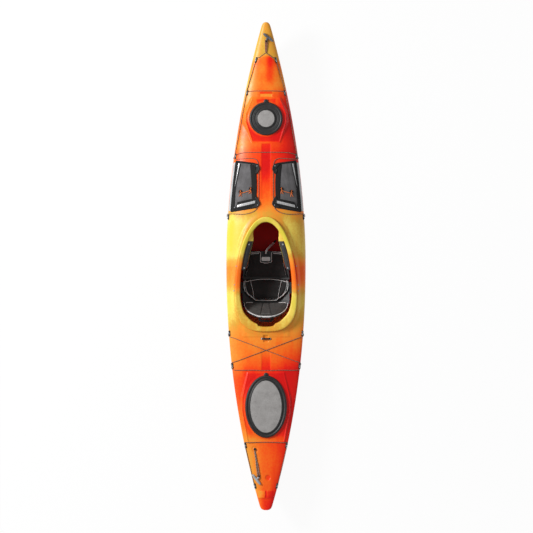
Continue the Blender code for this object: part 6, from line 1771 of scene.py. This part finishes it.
def liftStrap():
    start = float(panTop(0.0, 0.1113)) + 0.0107
    path = [
        (-0.001, 0.1040, start + 0.0005), (0.002, 0.1250, start + 0.0012), (0.014, 0.1440, start - 0.012),
        (0.032, 0.1630, start - 0.045), (0.050, 0.1800, 0.0360), (0.066, 0.1950, 0.0165),
        (0.080, 0.2120, 0.0095),
    ]
    points = route(path, 0.004)
    cut = int(len(points) * 0.84)
    grey = sweep("strap", points[:cut + 1], flatSection(0.0085, 0.0026), greyWebbing, up=(0.5, 0.75, 0.45))
    tail = sweep("tail", points[cut:], flatSection(0.0058, 0.0022), blackTape, up=(0.5, 0.75, 0.45))
    tip = turnedPiece("tip", points[0] + (0, 0, 0.001), (0, 1, 0.05),
        ((-0.004, 0.0030), (0.0, 0.0062), (0.006, 0.0066), (0.012, 0.0050), (0.015, 0.0030)), labelVinyl, 20)
    made = joined("leg_lift_pull_strap", [grey, tail, tip])
    settle(made, "leg_rest", "grey_webbing", "leg_lift_strap")


liftBuckle()
liftStrap()


# Drain plug: a round cap with a coin slot, in the end of the stern.
def drainPlug():
    low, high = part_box("drain_plug")
    centre = (low + high) / 2
    radius = (high.z - low.z) / 2
    face = low.y
    rings = ((0.0, radius * 0.9), (0.0008, radius * 0.97), (0.0022, radius), (0.0052, radius),
        (0.0062, radius * 0.96), (0.0072, radius * 0.62), (high.y - face, radius * 0.60))
    cap = turnedPiece("cap", (centre.x, face, centre.z), (0, 1, 0), rings, seatPlastic, 36)
    ribs = []
    for index in range(18):
        a = 2 * math.pi * index / 18
        spot = (centre.x + (radius - 0.0004) * math.cos(a), face + 0.0022,
            centre.z + (radius - 0.0004) * math.sin(a))
        ribs.append(turnedPiece("rib", spot, (0, 1, 0),
                ((0, 0.0006), (0.0004, 0.0009), (0.0026, 0.0009), (0.003, 0.0006)), seatPlastic, 8))
    cut = [(centre.x + radius * x, face - 0.0002, centre.z) for x in (-0.7, 0, 0.7)]
    slot = sweep("slot", cut, flatSection(0.0016, 0.0006), padFoam, up=(0, -1, 0))
    made = joined("drain_plug_cap", [cap, slot] + ribs)
    settle(made, "drain_plug", "plug_plastic", "drain_plug")


drainPlug()


# CAD nodes whose shape is right keep it, with a finish of their own.
kept = {
    "front_bulkhead": bulkheadFoam, "rear_bulkhead": bulkheadFoam, "seat_pan": seatPlastic,
    "leg_lift_plate": seatPlastic,
    "hip_bracket_left": bracePlastic, "hip_bracket_right": bracePlastic, "foot_rail_left": blackNylon,
    "foot_rail_right": blackNylon,
    "foot_pedal_left": bracePlastic, "foot_pedal_right": bracePlastic, "backrest_pin_left": steel,
    "backrest_pin_right": steel,
    "backrest_frame": seatPlastic,
}
for node, finish in kept.items():
    piece = bpy.data.objects[node]
    for slot in piece.material_slots:
        slot.material = finish


# Floor and light: a pale studio floor that keeps the hull's soft shadow but reads as white.
studio = {"lampSize": 3.0, "lampPower": 860.0, "lampPlace": (-7.0, 2.6, 6.0), "fillStrength": 0.42,
    "glow": 0.94, "paint": "#F4F4F4"}


def studioFloor():
    mesh = bpy.data.meshes.new("floor")
    reach = 14.0
    mesh.from_pydata([(-reach, -reach, 0), (reach, -reach, 0), (reach, reach, 0), (-reach, reach, 0)], [],
        [(0, 1, 2, 3)])
    made, tree, shader, place = newMaterial("studioFloorPaint", Roughness=0.9)
    roll = noise(tree, place, 30.0, 4.0)
    dress(tree, shader, ramp(tree, roll, (0.3, "#F1F1F1"), (0.7, studio["paint"])), None, roll, 0.0002, 0.2)
    path = addNode(tree, "LightPath").outputs
    seen = calculate(tree, "MAXIMUM", path["Is Camera Ray"], path["Is Glossy Ray"])
    seen = calculate(tree, "MAXIMUM", seen, path["Is Transmission Ray"])
    share = calculate(tree, "MULTIPLY", seen, studio["glow"])
    glow = addNode(tree, "Emission", {"Color": colour("#FFFFFF"), "Strength": 1.0})
    both = addNode(tree, "MixShader", {0: share, 1: shader.outputs[0], 2: glow.outputs[0]})
    tree.links.new(both.outputs[0], tree.nodes["Material Output"].inputs["Surface"])
    mesh.materials.append(made)
    floor = bpy.data.objects.new("floor", mesh)
    scene.collection.objects.link(floor)


def studioLight():
    world = bpy.data.worlds.new("studio")
    world.use_nodes = True
    scene.world = world
    tree = world.node_tree
    base = tree.nodes["Background"]
    base.inputs["Color"].default_value = (1.0, 1.0, 1.0, 1.0)
    base.inputs["Strength"].default_value = studio["fillStrength"]
    white = addNode(tree, "Background", {"Color": (1.0, 1.0, 1.0, 1.0), "Strength": 1.0})
    path = addNode(tree, "LightPath").outputs
    both = addNode(tree, "MixShader", {0: path["Is Camera Ray"], 1: base.outputs[0], 2: white.outputs[0]})
    tree.links.new(both.outputs[0], tree.nodes["World Output"].inputs["Surface"])
    lamp = bpy.data.lights.new("softbox", "AREA")
    lamp.shape, lamp.size, lamp.energy = "DISK", studio["lampSize"], studio["lampPower"]
    softbox = bpy.data.objects.new("softbox", lamp)
    softbox.location = studio["lampPlace"]
    softbox.rotation_euler = (-Vector(studio["lampPlace"])).to_track_quat("-Z", "Y").to_euler()
    scene.collection.objects.link(softbox)


studioFloor()
studioLight()
